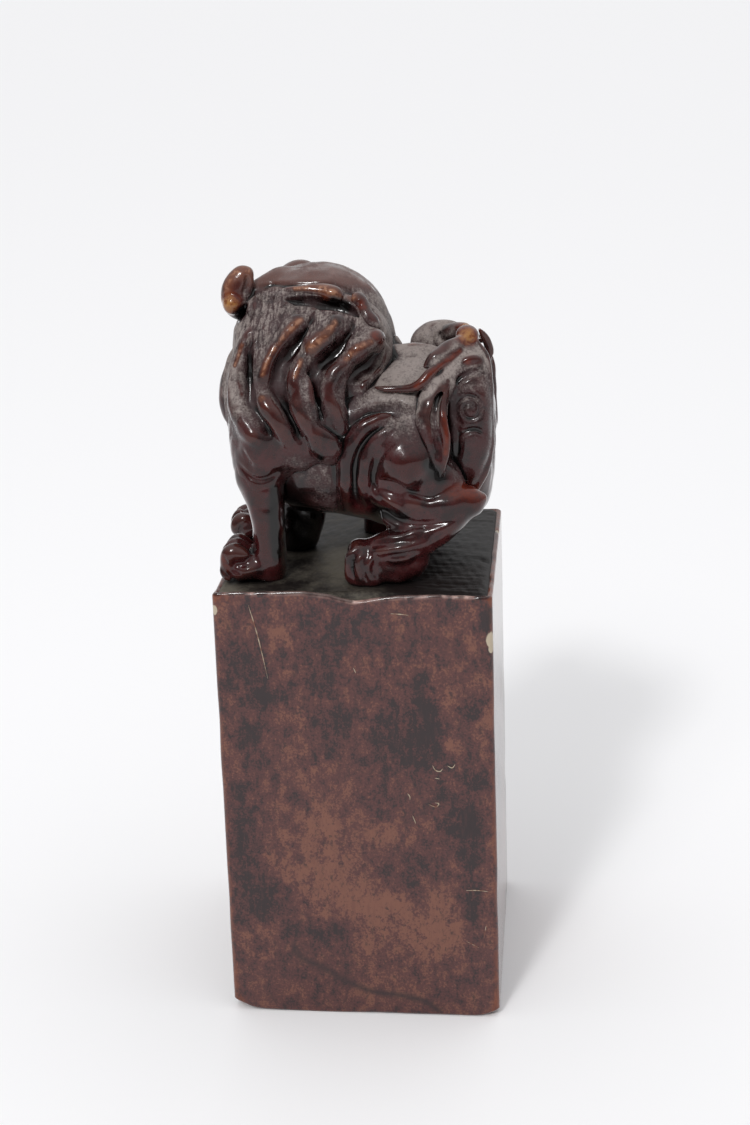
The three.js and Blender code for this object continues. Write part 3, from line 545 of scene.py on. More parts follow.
def carve_mane():
    """The mane's locks: sweeps along S-shaped lines, cut as valleys and joined as cords. The far side's
    lines lie on the mass, at steps of 24 degrees round it, and swing to and fro on their way up."""
    stone = mane_mass().copied()
    both = head_mass(), mane_mass()
    cut_border(stone)
    # Valleys between the locks
    stone.cut(*[Swept(laid(rows, -0.1, *both), NEAR, 6, rings=60) for rows in (
        [(-5.6, -8.6, 33.3, 0.5), (-6, -10.1, 31.2, 0.9), (-7.4, -11.2, 29.6, 1.1),
         (-8.3, -12.3, 27.6, 1.2), (-8.5, -13.1, 25.1, 1.2), (-7.8, -13.6, 22.9, 1),
         (-6.6, -13.7, 20.6, 0.8), (-6, -13.4, 18.4, 0.5)],
        [(-1, -8.8, 32, 0.5), (-1.9, -10.5, 29.4, 0.9), (-3.4, -11.6, 27.8, 1.1), (-4.3, -12.5, 25.9, 1.15),
         (-4.1, -13, 23.8, 1.1), (-3.2, -13, 21.3, 0.8)],
        [(-11.9, -9.4, 31.4, 0.5), (-12.5, -10.4, 29.2, 0.9), (-12.7, -11.2, 26.8, 1.2),
         (-12.6, -11.8, 24.6, 1.2), (-11.8, -12.6, 22.9, 0.9), (-10.4, -13.4, 21.4, 0.7),
         (-9.4, -13.6, 19.4, 0.5)],
        [(3.2, -7.7, 29, 0.6), (2.2, -9.3, 27, 1), (0.9, -10.8, 25.4, 1.1), (0.4, -11.2, 23.2, 1),
         (1, -11.4, 21, 0.7)],
    )], blend=0.6)
    # Hollows drilled to the rear of the bulbs
    stone.cut(*[Swept(laid(rows, -0.75, *both), NEAR, 6, rings=48) for rows in (
        [(-5, -9.5, 32.2, 0.5), (-5.8, -10.3, 30.9, 0.8), (-7, -11.3, 29.2, 0.85), (-8, -12.2, 27.4, 0.6)],
        [(0.2, -9.2, 31.4, 0.5), (-0.8, -10.1, 29.9, 0.95), (-2.2, -10.9, 28.6, 1),
         (-3.6, -11.5, 27.2, 0.6)],
        [(3.8, -7.4, 29, 0.7), (2.7, -9.1, 27.8, 1.15), (1, -10.3, 26.6, 1.1), (0, -11.2, 25.2, 0.8)],
        [(-8.6, -13.4, 23.4, 0.3), (-7, -13.8, 21.6, 0.5), (-6.1, -13.8, 19.8, 0.4)],
    )], blend=0.4)

    # Near locks: S-shaped cords with a bulb at the root and a full tip
    stone.join(*[Swept(laid(rows, level, *both), NEAR, 6, rings=64) for level, rows in (
        (-0.2, [(-11.9, -8.6, 31.8, 0.5), (-13.1, -9, 29.9, 0.7), (-14, -9, 27.6, 0.8),
                (-14.5, -9.2, 24.6, 0.9), (-14.2, -10.3, 22.4, 1.1), (-13.1, -11.9, 20.9, 1.3),
                (-11.5, -13.1, 19.1, 1.4), (-10.1, -13.2, 16.8, 0.7)]),
        (-0.1, [(-5.4, -8.5, 33.2, 0.8), (-6.3, -9.2, 32.5, 1.15), (-7.8, -10.3, 31.2, 0.95),
                (-9.3, -11.4, 29.2, 0.8), (-10.2, -12.2, 26.9, 0.8), (-10.5, -12.8, 25, 0.65)]),
        (-0.1, [(-10.7, -12.9, 24.9, 0.55), (-10.1, -13.3, 23.6, 1.05), (-9, -13.7, 22, 1.2),
                (-7.9, -13.8, 20.1, 1), (-7.3, -13.4, 17.9, 0.5)]),
        (-0.05, [(-0.3, -8.4, 33.1, 0.7), (-1.6, -8.9, 32.3, 1.25), (-3, -9.9, 31.2, 1.35),
                 (-4.3, -10.8, 30, 1.25), (-5.2, -11.4, 29.1, 0.85)]),
        (-0.1, [(-4.9, -11.2, 29.4, 0.5), (-5.8, -11.9, 28, 0.75), (-6.4, -12.5, 26.2, 0.8),
                (-6.2, -13.1, 24.4, 0.9), (-5.7, -13.6, 22.6, 1.1), (-5, -13.6, 20.8, 1),
                (-4.5, -13.3, 19, 0.5)]),
        (0.0, [(3.9, -6.6, 30.4, 0.9), (2.8, -8, 30.1, 1.5), (1.4, -9.2, 29.4, 1.4),
               (0, -10.3, 28.4, 1.15)]),
        (-0.1, [(0.6, -9.9, 28.8, 0.9), (-0.5, -10.8, 27.9, 0.95), (-1.6, -11.6, 26.7, 0.85),
                (-2.2, -12.3, 25, 0.8), (-2.1, -12.6, 23.4, 0.9), (-1.5, -12.4, 21.6, 1.1),
                (-0.8, -12, 19.6, 1.05), (-0.3, -12, 17.4, 0.5)]),
    )], blend=0.8)
    # Leaf on the shoulder, broad and flat
    stone.join(Swept(laid([
        (-4.9, -13.3, 21.4, 0.4, 0.4), (-4, -13.3, 19.6, 1.4, 0.9), (-2.8, -13, 17.6, 1.95, 1.2),
        (-1.5, -12.6, 15.9, 1.4, 1), (-0.7, -12.4, 14.7, 0.4, 0.4),
    ], 0.15, mane_mass()), NEAR, 5, sides=40), blend=0.35)
    # Low folds that run beside the cords
    stone.join(*[Swept(laid(rows, -0.55, *both), NEAR, 5) for rows in (
        [(-13, -10.2, 28.8, 0.5), (-13.4, -11, 26.2, 0.7), (-13, -12, 23.8, 0.5)],
        [(-8.9, -10.6, 31.4, 0.5), (-9.2, -12, 28.6, 0.5)],
        [(-4.8, -12.6, 26.8, 0.5), (-4.6, -13.3, 24, 0.6), (-3.9, -13.4, 21.6, 0.4)],
        [(-12.9, -12, 18.6, 0.9), (-12, -12.4, 17.1, 1.3), (-10.4, -12.3, 15.9, 1.1),
         (-8.6, -12.4, 15.4, 0.7)],
        [(-8.5, -13.3, 17.6, 0.6), (-7.4, -12.9, 16.2, 0.9), (-5.6, -12.5, 15.4, 0.8)],
    )], blend=0.6)

    # Chest locks at the front outline, and the far side's locks
    stone.join(*[Swept(rows, -REAR, 5) for rows in (
        [(-14.2, -1.4, 29.2, 0.8), (-15.4, -1.6, 26, 1.3), (-16.5, -1.2, 22.2, 1.5), (-16.6, -1, 19.2, 1.4),
         (-15.4, -1.6, 16.2, 0.8)],
        [(-13.6, -4.8, 28.6, 0.8), (-14.9, -5.2, 25.4, 1.1), (-15.4, -5.4, 21.8, 1.3),
         (-14.9, -6.2, 18.8, 1.2), (-13.6, -7.4, 16, 0.7)],
        [(-13.6, 2.4, 27.4, 0.8), (-15, 2.6, 24.6, 1.2), (-15.6, 2.6, 21, 1.3), (-14.8, 2.2, 17.8, 1)],
    )], blend=0.4)
    cut_elbow(stone)
    mass = Swept(MANE_ROWS, NEAR, 5, 0.8)
    ridges, valleys = [], []
    for lock in range(7):
        middle = 206 + lock * 24
        for turn, forms, rise, size in ((0, ridges, 0.2, 1.0), (12, valleys, 0.3, 0.9)):
            stations = []
            for share, swing, swell in (
                (0.82, -8, 0.8), (0.74, 0, 1.3), (0.63, 7, 1.05), (0.51, 5, 0.85), (0.39, -4, 0.95),
                (0.28, -9, 1.15), (0.17, -9, 0.5),
            ):
                reach = swell * size
                angle = np.radians([middle + turn + swing])
                point = mass.at(np.array([share]), angle, rise * reach)[0]
                stations.append((*(point - [0, 0, GROUND_TOP]), reach))
            forms.append(Swept(stations, FAR, 6, rings=56))
    stone.cut(*valleys, blend=0.6)
    stone.join(*ridges, blend=0.3)
    stone.soften(0.8)
    stone.roughen(0.035, 2.4, 5)
    return stone


# Trunk, thighs and hind legs

@functools.lru_cache(maxsize=None)
def body_mass():
    """The body without its detail: the trunk as one lengthwise sweep, and on each side two ellipsoids for
    the thigh, with sweeps for shank, heel and foot."""
    stone = Stone((-17.5, -16.6, -1.5), (18.6, 12.6, 29.5), 0.203)
    stone.join(Swept([
        (-15.5, -2, 14.1, 5.67, 5.9), (-8, -2, 14.35, 9.27, 7.65), (-0.5, -2, 15.6, 10.1, 9.8),
        (8.5, -2, 15.6, 10.3, 11.6), (14.5, -2, 15.6, 8.24, 10.4),
    ], UP, 5, 0.85, sides=72, rings=72))
    for same, out in ((list, NEAR), (mirrored, FAR)):
        stone.join(Egg(same([(6.4, -7.9, 15.4)])[0], (5.2, 6.1, 6.3)), blend=0.5)
        stone.join(Egg(same([(6.7, -10.7, 15.7)])[0], (4, 4, 4.1)), blend=0.5)
        stone.join(Swept(same([
            (7.4, -9.6, 14.6, 3.4), (10.6, -9.8, 12.6, 3.2), (13.8, -10.3, 11, 2),
        ]), out), blend=0.8)
        # Shank, heel and the long foot fold into one mass
        stone.join(Swept(same([
            (1.8, -10.8, 12, 2, 2), (5, -11.3, 11.1, 2.1, 2.1), (8.6, -11.4, 10, 2.2, 2.2),
            (12.4, -11.5, 10, 2.3, 2.1), (15.4, -11.2, 10.5, 1.9, 1.8), (16.7, -11, 10.8, 1, 1.1),
        ]), out, 4.5, rings=56), blend=0.6)
        stone.join(Swept(same([
            (15.3, -11.1, 10, 1.7, 1.8), (12.6, -11.3, 8.4, 2, 2.2), (9.6, -11.6, 6.4, 2.3, 2.5),
            (6.4, -11.8, 4.8, 2.55, 2.6), (3, -11.8, 3.7, 2.3, 2.5), (0.6, -11.7, 2.8, 1.9, 2.4),
        ]), out, 4.5, rings=56), blend=0.6)
        stone.join(Swept(same([
            (3.4, -10.6, 8.6, 1.8), (7.4, -11, 8, 2.4), (11.6, -11, 8.8, 2),
        ]), out), blend=0.7)
    return stone


def carve_body():
    """The body's detail: bands, creases, tendons and toes as sweeps along lines laid on the mass."""
    mass = body_mass()
    stone = mass.copied()
    for same, out in ((list, NEAR), (mirrored, FAR)):
        def form(rows, level=0.0, bluntness=5.0, out=out, same=same, **more):
            """A sweep along stations laid on the near side's mass, and mirrored for the far side."""
            return Swept(same(laid(rows, level, mass)), out, bluntness, **more)

        # Hollow crescent over the thigh, and the fold where the belly meets it
        stone.cut(form([
            (0.4, -12.1, 19.4, 0.5), (1.4, -12.2, 21, 0.9), (3.4, -12, 22, 1.1), (6, -11.6, 22, 1),
            (8, -11.4, 21.4, 0.5),
        ], 0.2, 6), form([
            (-2.2, -12.4, 17.4, 0.4), (-2.2, -12.2, 14, 0.65), (-2.1, -11.4, 11, 0.6),
            (-1.7, -10, 8.4, 0.4),
        ], 0.1, 6), blend=0.5)
        # Flame bands round the front of the thigh, with a groove between
        stone.join(form([
            (6.4, -12.3, 20.3, 0.5), (4.8, -12.5, 19.7, 0.95), (3.2, -12.4, 18.5, 1.15),
            (2.1, -12.3, 16.6, 1.2), (1.6, -12.2, 14.4, 1.15), (1.5, -11.7, 12, 1.1),
            (1.8, -10.8, 9.6, 0.7),
        ], -0.35, rings=56), form([
            (5.6, -11.6, 21.7, 0.4), (3.6, -11.9, 21.1, 0.85), (1.4, -12, 19.7, 1.1), (0.1, -12, 17.4, 1.2),
            (-0.5, -11.9, 14.6, 1.2), (-0.6, -11.3, 11.6, 1.15), (-0.2, -10.2, 8.6, 0.8),
        ], -0.35, rings=56), blend=0.35)
        stone.cut(form([
            (5.2, -12.9, 20.7, 0.2), (3.1, -13.3, 19.8, 0.38), (1.3, -13.4, 17.8, 0.42),
            (0.6, -13.3, 15, 0.42), (0.5, -12.8, 12, 0.4), (0.9, -11.8, 9.2, 0.3),
        ], 0.3, 6, rings=56), blend=0.3)
        stone.cut(form([
            (6.4, -12.9, 19, 0.2), (4.6, -13.3, 17.8, 0.4), (3.3, -13.4, 15.8, 0.45),
            (2.9, -13.3, 13.6, 0.4), (3.3, -12.8, 11.8, 0.3),
        ], 0.1, 6, rings=56), blend=0.5)
        # Crease under the thigh and the slanting facet below it, with a sharp lower rim
        stone.cut(form([
            (3.3, -12.6, 13.5, 0.25), (5.6, -12.9, 12.9, 0.4), (7.6, -12.5, 11.7, 0.45),
            (9.4, -12, 10.9, 0.35), (11.4, -12, 11.6, 0.2),
        ], 0.15, 6), blend=0.35)
        stone.join(form([
            (3.4, -13, 12.1, 0.4), (5, -13, 10.9, 0.55), (6.6, -13, 9.7, 0.55), (8, -13, 8.6, 0.35),
        ], -0.45), blend=0.3)
        stone.cut(form([
            (2.6, -13, 10.4, 0.3), (4.6, -13.2, 9, 0.5), (6.6, -13.2, 8, 0.55), (9, -13.2, 7.9, 0.4),
            (11.4, -13.2, 8.2, 0.35), (13.6, -12.8, 8.6, 0.25),
        ], 0.2, 6, rings=56), blend=0.5)
        # Tendons along the foot
        stone.join(form([
            (9, -13.8, 7.4, 0.3), (6.6, -14.2, 6.7, 0.55), (4, -14.1, 6.2, 0.65), (1.6, -13.9, 5.6, 0.7),
        ], -0.3), form([
            (9.8, -14, 6, 0.3), (7, -14.4, 5.4, 0.55), (4.4, -14.3, 4.9, 0.6), (2.4, -14.2, 4.6, 0.6),
        ], -0.3), form([
            (8.8, -14, 4.4, 0.3), (6.4, -14.3, 3.9, 0.5), (4.4, -14.3, 3.6, 0.55),
        ], -0.3), blend=0.3)
        # Deep sole, and a paw cut into four narrow toes that hang to the ground
        stone.join(Swept(same([
            (1.6, -11.6, 1.6, 2.4, 2.2), (4.6, -11.7, 1.9, 2.5, 2.2), (7, -11.7, 2.6, 2.3, 2.1),
            (9, -11.5, 4.2, 1.7, 1.7),
        ]), out, 4), blend=0.8)
        stone.join(Swept(same([
            (1.9, -11.8, 5.2, 2, 1.9), (1.3, -12, 3.4, 2.3, 2.3), (1.5, -12, 1.2, 2.5, 2.5),
            (1.7, -12, -1, 2.6, 2.5),
        ]), out, 6, 0.85), blend=0.5)
        paw = stone.copied()
        stone.cut(*[Swept(same(laid(rows, 0.15, paw)), out, 6) for rows in (
            [(0.9, -14, 5, 0.15), (0.1, -14.4, 3.9, 0.32), (0, -14.5, 2.5, 0.34), (0.4, -14.5, 0.8, 0.28)],
            [(2.1, -14.2, 4.8, 0.15), (1.2, -14.6, 3.6, 0.3), (1.2, -14.6, 2.4, 0.34),
             (1.9, -14.5, 0.8, 0.28)],
            [(3.1, -14.3, 4.3, 0.12), (2.5, -14.6, 3.2, 0.2), (2.7, -14.6, 2.2, 0.22),
             (3.4, -14.5, 0.9, 0.15)],
        )], blend=0.25)
        for toe in (
            [(0.4, -13.4, 4.7, 0.5), (-0.5, -13.4, 3.6, 0.62), (-0.6, -13.4, 1.8, 0.62),
             (-0.3, -13.4, 0.2, 0.7)],
            [(1.5, -13.9, 4.4, 0.45), (0.7, -14.2, 3.2, 0.55), (0.8, -14.2, 1.7, 0.55),
             (1.2, -14.2, 0.2, 0.65)],
            [(2.6, -14.1, 4.1, 0.4), (1.9, -14.2, 2.9, 0.45), (2, -14.2, 1.6, 0.45),
             (2.6, -14.1, 0.2, 0.5)],
        ):
            stone.join(Swept(same(toe), out, 5), blend=0.2)
    # Spine, a low ridge from the mane to the tail
    stone.join(Swept([
        (-2, -1, 25.2, 1.4), (3, -1.6, 26.3, 1.5), (8, -2, 26.8, 1.4), (12, -2, 26.4, 1),
    ], UP), blend=0.9)
    stone.soften(0.8)
    stone.roughen(0.045, 3.2, 7)
    return stone


def carve_forelegs():
    """Both forelegs from one set of stations, the far one set back and with a flatter paw. Each is a sweep
    down the leg, one for the foot and three rolled over as toes, with grooves cut between."""
    stone = Stone((-19.5, -16, -1.5), (-4.5, 9.5, 20.5), 0.16)
    # Stone left standing behind the far foreleg, coloured near black by painted shade
    stone.join(Swept([
        (-8.4, 1, 13, 3.6, 3.4), (-8.2, 1, 8.5, 3.7, 3.2), (-8.6, 1, 5, 3.5, 3), (-9.2, 1, 2, 3.2, 2.8),
        (-9.7, 1.2, -1, 2.8, 2.6),
    ], NEAR, 8, 0.85))
    for middle, ahead, low in ((-11.0, 0.0, 1.0), (5.4, -1.7, 0.64)):
        outer = -1 if middle < 0 else 1

        def rows(*stations, middle=middle, ahead=ahead, outer=outer):
            """Stations from the leg's middle: outwards is positive in the second number."""
            return [(x + ahead, middle + outer * y, *rest) for x, y, *rest in stations]

        stone.join(Swept(rows(
            (-10.4, -2.4, 19, 4.1, 4), (-11.3, -1.5, 15.8, 3.9, 3.8), (-11.6, -0.8, 13, 3.2, 3.2),
            (-11.15, -0.3, 10.4, 2.5, 2.65), (-10.9, 0, 8, 2.15, 2.4), (-10.85, 0, 5.2, 2.05, 2.3),
            (-10.9, 0, 2.2, 2.15, 2.35), (-10.9, 0, -1.2, 2.3, 2.5),
        ), NEAR, 7, 0.9, sides=44, rings=64), blend=0.5)
        # Foot that sweeps forward into one low rolled wave
        stone.join(Swept(rows(
            (-10.8, 0, 1.9, 2.6, 2.2), (-13.2, 0, 1.7, 3, 1.9), (-15, 0, 1.4, 2.9, 1.6),
            (-16, 0, 1.1, 2.4, 1.2),
        ), UP, 4), blend=0.8)
        for outward, size in ((1.75, 0.97), (0, 1.03), (-1.75, 0.94)):
            stone.join(Swept(rows(
                (-12.9, outward, 3 * low, 0.7 * size), (-14, outward, 3.7 * low, 1.0 * size),
                (-15.2, outward, 4.1 * low, 1.15 * size), (-15.9, outward, 3.3 * low, 1.15 * size),
                (-15.9, outward, 2 * low, 1.05 * size), (-15.5, outward, 0.7, 0.9 * size),
            ), NEAR, 5), blend=0.45)
        for outward in (-0.88, 0.88):
            stone.cut(Swept(rows(
                (-13.2, outward, 4.4 * low, 0.2), (-15, outward, 5.4 * low, 0.32),
                (-17, outward, 3.8 * low, 0.36), (-17, outward, 1.4, 0.34), (-16.2, outward, -0.2, 0.25),
            ), NEAR, 8), blend=0.25)
        mass = stone.copied()
        # Fine rims that follow the curl of the outer toe, and its claw
        side = 3.1
        for step in range(3):
            stone.cut(Swept(laid(rows(
                (-12.4 + 0.1 * step, side, 4.4 - 0.55 * step, 0.12), (-13.2, side, 3.6 - 0.45 * step, 0.2),
                (-14.2, side, 3.55 - 0.45 * step, 0.2),
                (-14.9 + 0.15 * step, side, 3.9 - 0.55 * step, 0.12),
            ), 0.3, mass), NEAR, 8), blend=0.12)
        stone.cut(Swept(laid(rows(
            (-16.3, side - 0.6, 3.9, 0.15), (-15.9, side, 2.9, 0.28), (-15.2, side, 2, 0.25),
            (-14, side, 1.5, 0.15),
        ), 0.2, mass), NEAR, 8), blend=0.2)
        stone.join(Swept(rows(
            (-16.9, side - 1.2, 2.2, 0.3), (-16.5, side - 0.8, 1.2, 0.42), (-15.7, side - 0.5, 0.4, 0.3),
        ), NEAR, 5), blend=0.15)
    cut_elbow(stone)
    stone.soften(0.9)
    stone.roughen(0.045, 3, 11)
    return stone


# Tail, fanned up over the rump

@functools.lru_cache(maxsize=None)
def tail_mass():
    """The tail without its detail: one upright sweep over the rump, an ellipsoid for the scroll on top, and
    a panel swept down each side."""
    stone = Stone((-1.5, -15.6, 1), (19.4, 11.6, 33), 0.16)
    stone.join(Swept([
        (14.2, -1, 27.6, 3.5, 1.9), (15.1, -0.4, 20.3, 4.4, 2.3), (15.1, 0.2, 12.4, 4.4, 2.3),
        (15.2, 1, 5, 2.2, 1.9),
    ], REAR, 4, sides=44, rings=56))
    stone.join(Egg((10.4, 5.2, 26.5), (4.1, 2.5, 3)), blend=0.3)
    for same, out, top in ((list, NEAR, 29), (mirrored, FAR, 26)):
        stone.join(Swept(same([
            (14.5, -4.2, top, 1.6, 1.5), (14.5, -5.9, 0.9 * top + 0.2, 2.3, 2.3),
            (14.3, -6.7, 21.7, 2.9, 2.7), (14.3, -7.2, 16.4, 2.9, 2.7), (14.4, -7.2, 12.4, 1.7, 2.1),
            (14.3, -7.2, 9.8, 0.6, 1),
        ]), out, 4, 0.8, sides=44, rings=56), blend=0.4)
    return stone


def carve_tail():
    """The tail's detail: lobes, rims, spirals and crescents as sweeps joined to the mass or cut from it."""
    mass = tail_mass()
    stone = mass.copied()
    for same, out in ((list, NEAR), (mirrored, FAR)):
        def form(rows, bluntness=5.0, level=None, out=out, same=same, **more):
            """A sweep along stations as given or laid on the mass, and mirrored for the far side."""
            return Swept(same(rows if level is None else laid(rows, level, mass)), out, bluntness, **more)

        # Leaf-shaped lobe, hollow beside its bright rear rim
        stone.join(form([
            (14.6, -4.8, 28.8, 0.8), (12.6, -7, 26.6, 1.3, 1.3), (10.8, -9.2, 24.2, 1.7, 1.5),
            (9.9, -10.8, 21.3, 1.95, 1.6), (10.2, -11.5, 18.2, 1.7, 1.6), (10.9, -12, 15.4, 1.1, 1.3),
            (11.4, -12.2, 13.2, 0.45, 0.7),
        ], 5, rings=56), blend=0.9)
        # Side panel: raised rear edge, engraved spiral and crescents
        stone.join(form([
            (15.3, -5, 29.4, 0.5), (16.4, -6, 27.3, 0.6), (16.8, -6.5, 24, 0.65), (16.9, -6.8, 20, 0.65),
            (16.9, -7.2, 16.4, 0.65), (16.3, -7.8, 13.2, 0.6), (15.4, -8.2, 11.2, 0.5),
            (14.8, -8.4, 9.6, 0.3),
        ], 6, rings=64), blend=0.3)
        engraved = spiral((14.6, -8.9, 21.4), 2.1, 1.7, 0.42, -SIGHT, sense=-1, start=1.2)
        stone.cut(form(engraved, 10, -0.1, rings=90), blend=0.2)
        stone.cut(form([
            (12.7, -7.8, 24.1, 0.3), (13.5, -8.2, 25.1, 0.5), (14.7, -8, 25.7, 0.5),
            (16.1, -7.4, 25.8, 0.3),
        ], 8, 0.0), form([
            (12.9, -7.8, 17.4, 0.3), (13.8, -8.2, 18.2, 0.4), (15.2, -8, 18.4, 0.4),
            (16.4, -7.4, 17.6, 0.3),
        ], 8, 0.1), blend=0.3)
        stone.join(form([
            (12.9, -7.2, 25.8, 0.35), (13.8, -7.3, 26.9, 0.6), (15, -7, 27.3, 0.6),
            (16.2, -6.5, 27.1, 0.35),
        ], 5, -0.2), blend=0.25)
        stone.cut(form([
            (13.6, -8.4, 25, 0.2), (13, -9.4, 23.4, 0.35), (12.9, -10.2, 21, 0.4), (13.2, -10.4, 18.4, 0.4),
            (13.1, -10.6, 16, 0.35), (12.6, -10.8, 13.6, 0.3),
        ], 6, 0.3), blend=0.5)
        stone.join(form([
            (15.2, -5.4, 28.2, 0.3), (13.3, -7.2, 26.8, 0.45), (12, -9, 25.2, 0.5),
            (11.4, -10.8, 23.2, 0.55), (11.4, -12, 21.2, 0.6), (11.8, -12.4, 19, 0.6),
            (11.8, -12.7, 17, 0.5), (11.3, -12.9, 15, 0.4), (10.9, -12.9, 13.4, 0.3),
        ], 6, rings=64), blend=0.2)
        stone.cut(form([
            (12.6, -8.4, 24.9, 0.25), (10.9, -10.8, 23.4, 0.45), (10.5, -12.3, 21, 0.5),
            (10.8, -12.9, 18.6, 0.45), (10.8, -13.1, 16.4, 0.25),
        ], 6), blend=0.35)
        # Dusty upper ridge from the tip, and the red ridge that runs out along the flank
        stone.join(form([
            (14.2, -4.4, 29.4, 0.8), (13.2, -5.9, 29, 0.95), (11.6, -7.1, 28.4, 1.05),
            (10.2, -8.2, 27.5, 0.95), (8.9, -8.9, 26.6, 0.5),
        ], 5), blend=0.5)
        stone.join(form([
            (13.6, -6.2, 28.1, 0.35), (12.2, -7.7, 27.6, 0.55), (10.9, -9, 27, 0.6),
            (9.8, -9.9, 26.2, 0.65), (8.8, -10.4, 25.1, 0.65), (7.4, -10.3, 24.5, 0.6),
            (5.6, -10, 24.3, 0.5), (3.6, -9.8, 24.4, 0.35), (1.8, -9.4, 24.7, 0.2),
        ], 6, rings=64), blend=0.35)
    # Spiral scroll at the top, the tongue beside it and the ball at the tip
    near_scroll = spiral((10.9, 2.8, 27.7), 2.3, 1.7, 0.3, (0.1, -0.94, 0.34), sense=1, start=2.6)
    far_scroll = spiral((10.4, 7.8, 26.8), 2.2, 1.8, 0.34, (0, 1, 0.2), sense=-1, start=0.6)
    stone.cut(Swept(laid(near_scroll, 0.0, mass), NEAR, 10, rings=90), blend=0.2)
    stone.cut(Swept(far_scroll, FAR, 10, rings=90), blend=0.2)
    stone.join(Swept([
        (4.6, -0.4, 27, 0.9), (6.2, 0.1, 27.7, 1.2), (8.2, 0.2, 28.1, 1.25), (10, 0.1, 27.8, 1),
        (11.2, 0, 27, 0.6),
    ], UP, 5), blend=0.4)
    stone.join(Swept([
        (6.4, -1, 28.2, 0.35), (8.4, -1.2, 28.7, 0.5), (10.1, -1, 28.4, 0.5), (10.2, -1.3, 27.5, 0.4),
    ], UP, 5), blend=0.2)
    stone.join(Egg((14.2, -4.2, 29.5), (1.5, 1.5, 1.45)), blend=0.3)
    stone.cut(Swept([
        (16.9, -4.5, 26, 0.2), (17.6, -3, 22, 0.5), (17.7, -2.2, 17, 0.6), (17.6, -1.6, 12, 0.5),
        (17, -1, 8, 0.2),
    ], REAR, 6), Swept([
        (16.9, 2.5, 26, 0.2), (17.6, 1.6, 22, 0.5), (17.7, 1.4, 17, 0.6), (17.6, 1.2, 12, 0.5),
        (17, 1, 8, 0.2),
    ], REAR, 6), blend=0.6)
    stone.soften(0.8)
    stone.roughen(0.035, 2.8, 13)
    return stone


CARVERS = {
    "head": carve_head,
    "mane": carve_mane,
    "body": carve_body,
    "forelegs": carve_forelegs,
    "tail": carve_tail,
}


@functools.lru_cache(maxsize=None)
def carved(name):
    """The named part of the lion, carved once and kept."""
    return CARVERS[name]()


@functools.lru_cache(maxsize=None)
def fullness_of_stone(width):
    """How much of the space round each point is stone, as a bell-curve average over the width in mm."""
    cell = 0.35
    low = np.array([-22.0, -20.0, GROUND_TOP - 4])
    shape = np.ceil((np.array([23.0, 22.0, GROUND_TOP + 43]) - low) / cell).astype(int)
    full = np.zeros(shape, np.float32)
    centres = [low[k] + cell * (np.arange(shape[k]) + 0.5) for k in range(3)]
    for name in CARVERS:
        stone = carved(name)
        nearest = [np.rint(centres[k] / stone.grain).astype(int) - stone.start[k] for k in range(3)]
        held = [(index >= 0) & (index < stone.depth.shape[k]) for k, index in enumerate(nearest)]
        picked = stone.depth[np.ix_(*[index[keep] for index, keep in zip(nearest, held)])] < 0
        where = np.ix_(*[np.flatnonzero(keep) for keep in held])
        full[where] = np.maximum(full[where], picked)
    full[:, :, centres[2] < GROUND_TOP] = 1
    return low, cell, blurred(full, width / cell)


def stone_round(points, width):
    """The averaged fullness at each point, read between the grid's cells along straight lines."""
    low, cell, full = fullness_of_stone(width)
    place = (points - low) / cell - 0.5
    base = np.clip(np.floor(place).astype(int), 0, np.array(full.shape) - 2)
    part = np.clip(place - base, 0, 1)
    total = np.zeros(len(points))
    for corner in np.ndindex(2, 2, 2):
        weight = np.prod(np.where(corner, part, 1 - part), axis=1)
        total += weight * full[tuple((base + corner).T)]
    return total


def near_line(points, rows, shares=24):
    """Closeness to a line of stations x, y, height, radius: 1 on the line, fading like a bell curve, and
    three times slower along the line of sight than across it."""
    rows = np.array(rows, float)
    line, radius = rows[:, :3], rows[:, 3]
    if len(rows) > 1:
        share = np.linspace(0, 1, shares)
        line = through(line, share)
        radius = np.interp(share * (len(rows) - 1), np.arange(len(rows)), radius)
    line = line + [0, 0, GROUND_TOP]
    room = radius.max() * np.array([2.6, 7.5, 3.6])
    close = np.flatnonzero(((points > line.min(0) - room) & (points < line.max(0) + room)).all(1))
    near = points[close]
    best = np.zeros(len(near))
    for point, reach in zip(line, radius):
        gap = near - point
        # With 0.89 of it taken off, a ninth of the squared gap along the line of sight still counts
        best = np.maximum(best, np.exp(((gap @ SIGHT) ** 2 * 0.89 - (gap**2).sum(1)) / reach**2))
    closeness = np.zeros(len(points))
    closeness[close] = best
    return closeness


def facing_up(points, quads):
    """The upward part of each point's normal, from the crossed diagonals of the quads round it."""
    square = np.cross(points[quads[:, 2]] - points[quads[:, 0]], points[quads[:, 3]] - points[quads[:, 1]])
    total = np.stack([
        sum(np.bincount(quads[:, k], square[:, axis], len(points)) for k in range(4))
        for axis in range(3)
    ], 1)
    return total[:, 2] / (np.linalg.norm(total, axis=1) + 1e-12)


# Where the dye is thin and the stone shows amber
AMBER_MARKS = [
    [(-15.4, -4.6, 34, 1.5)], [(14.2, -5, 29.7, 1.4)],
]
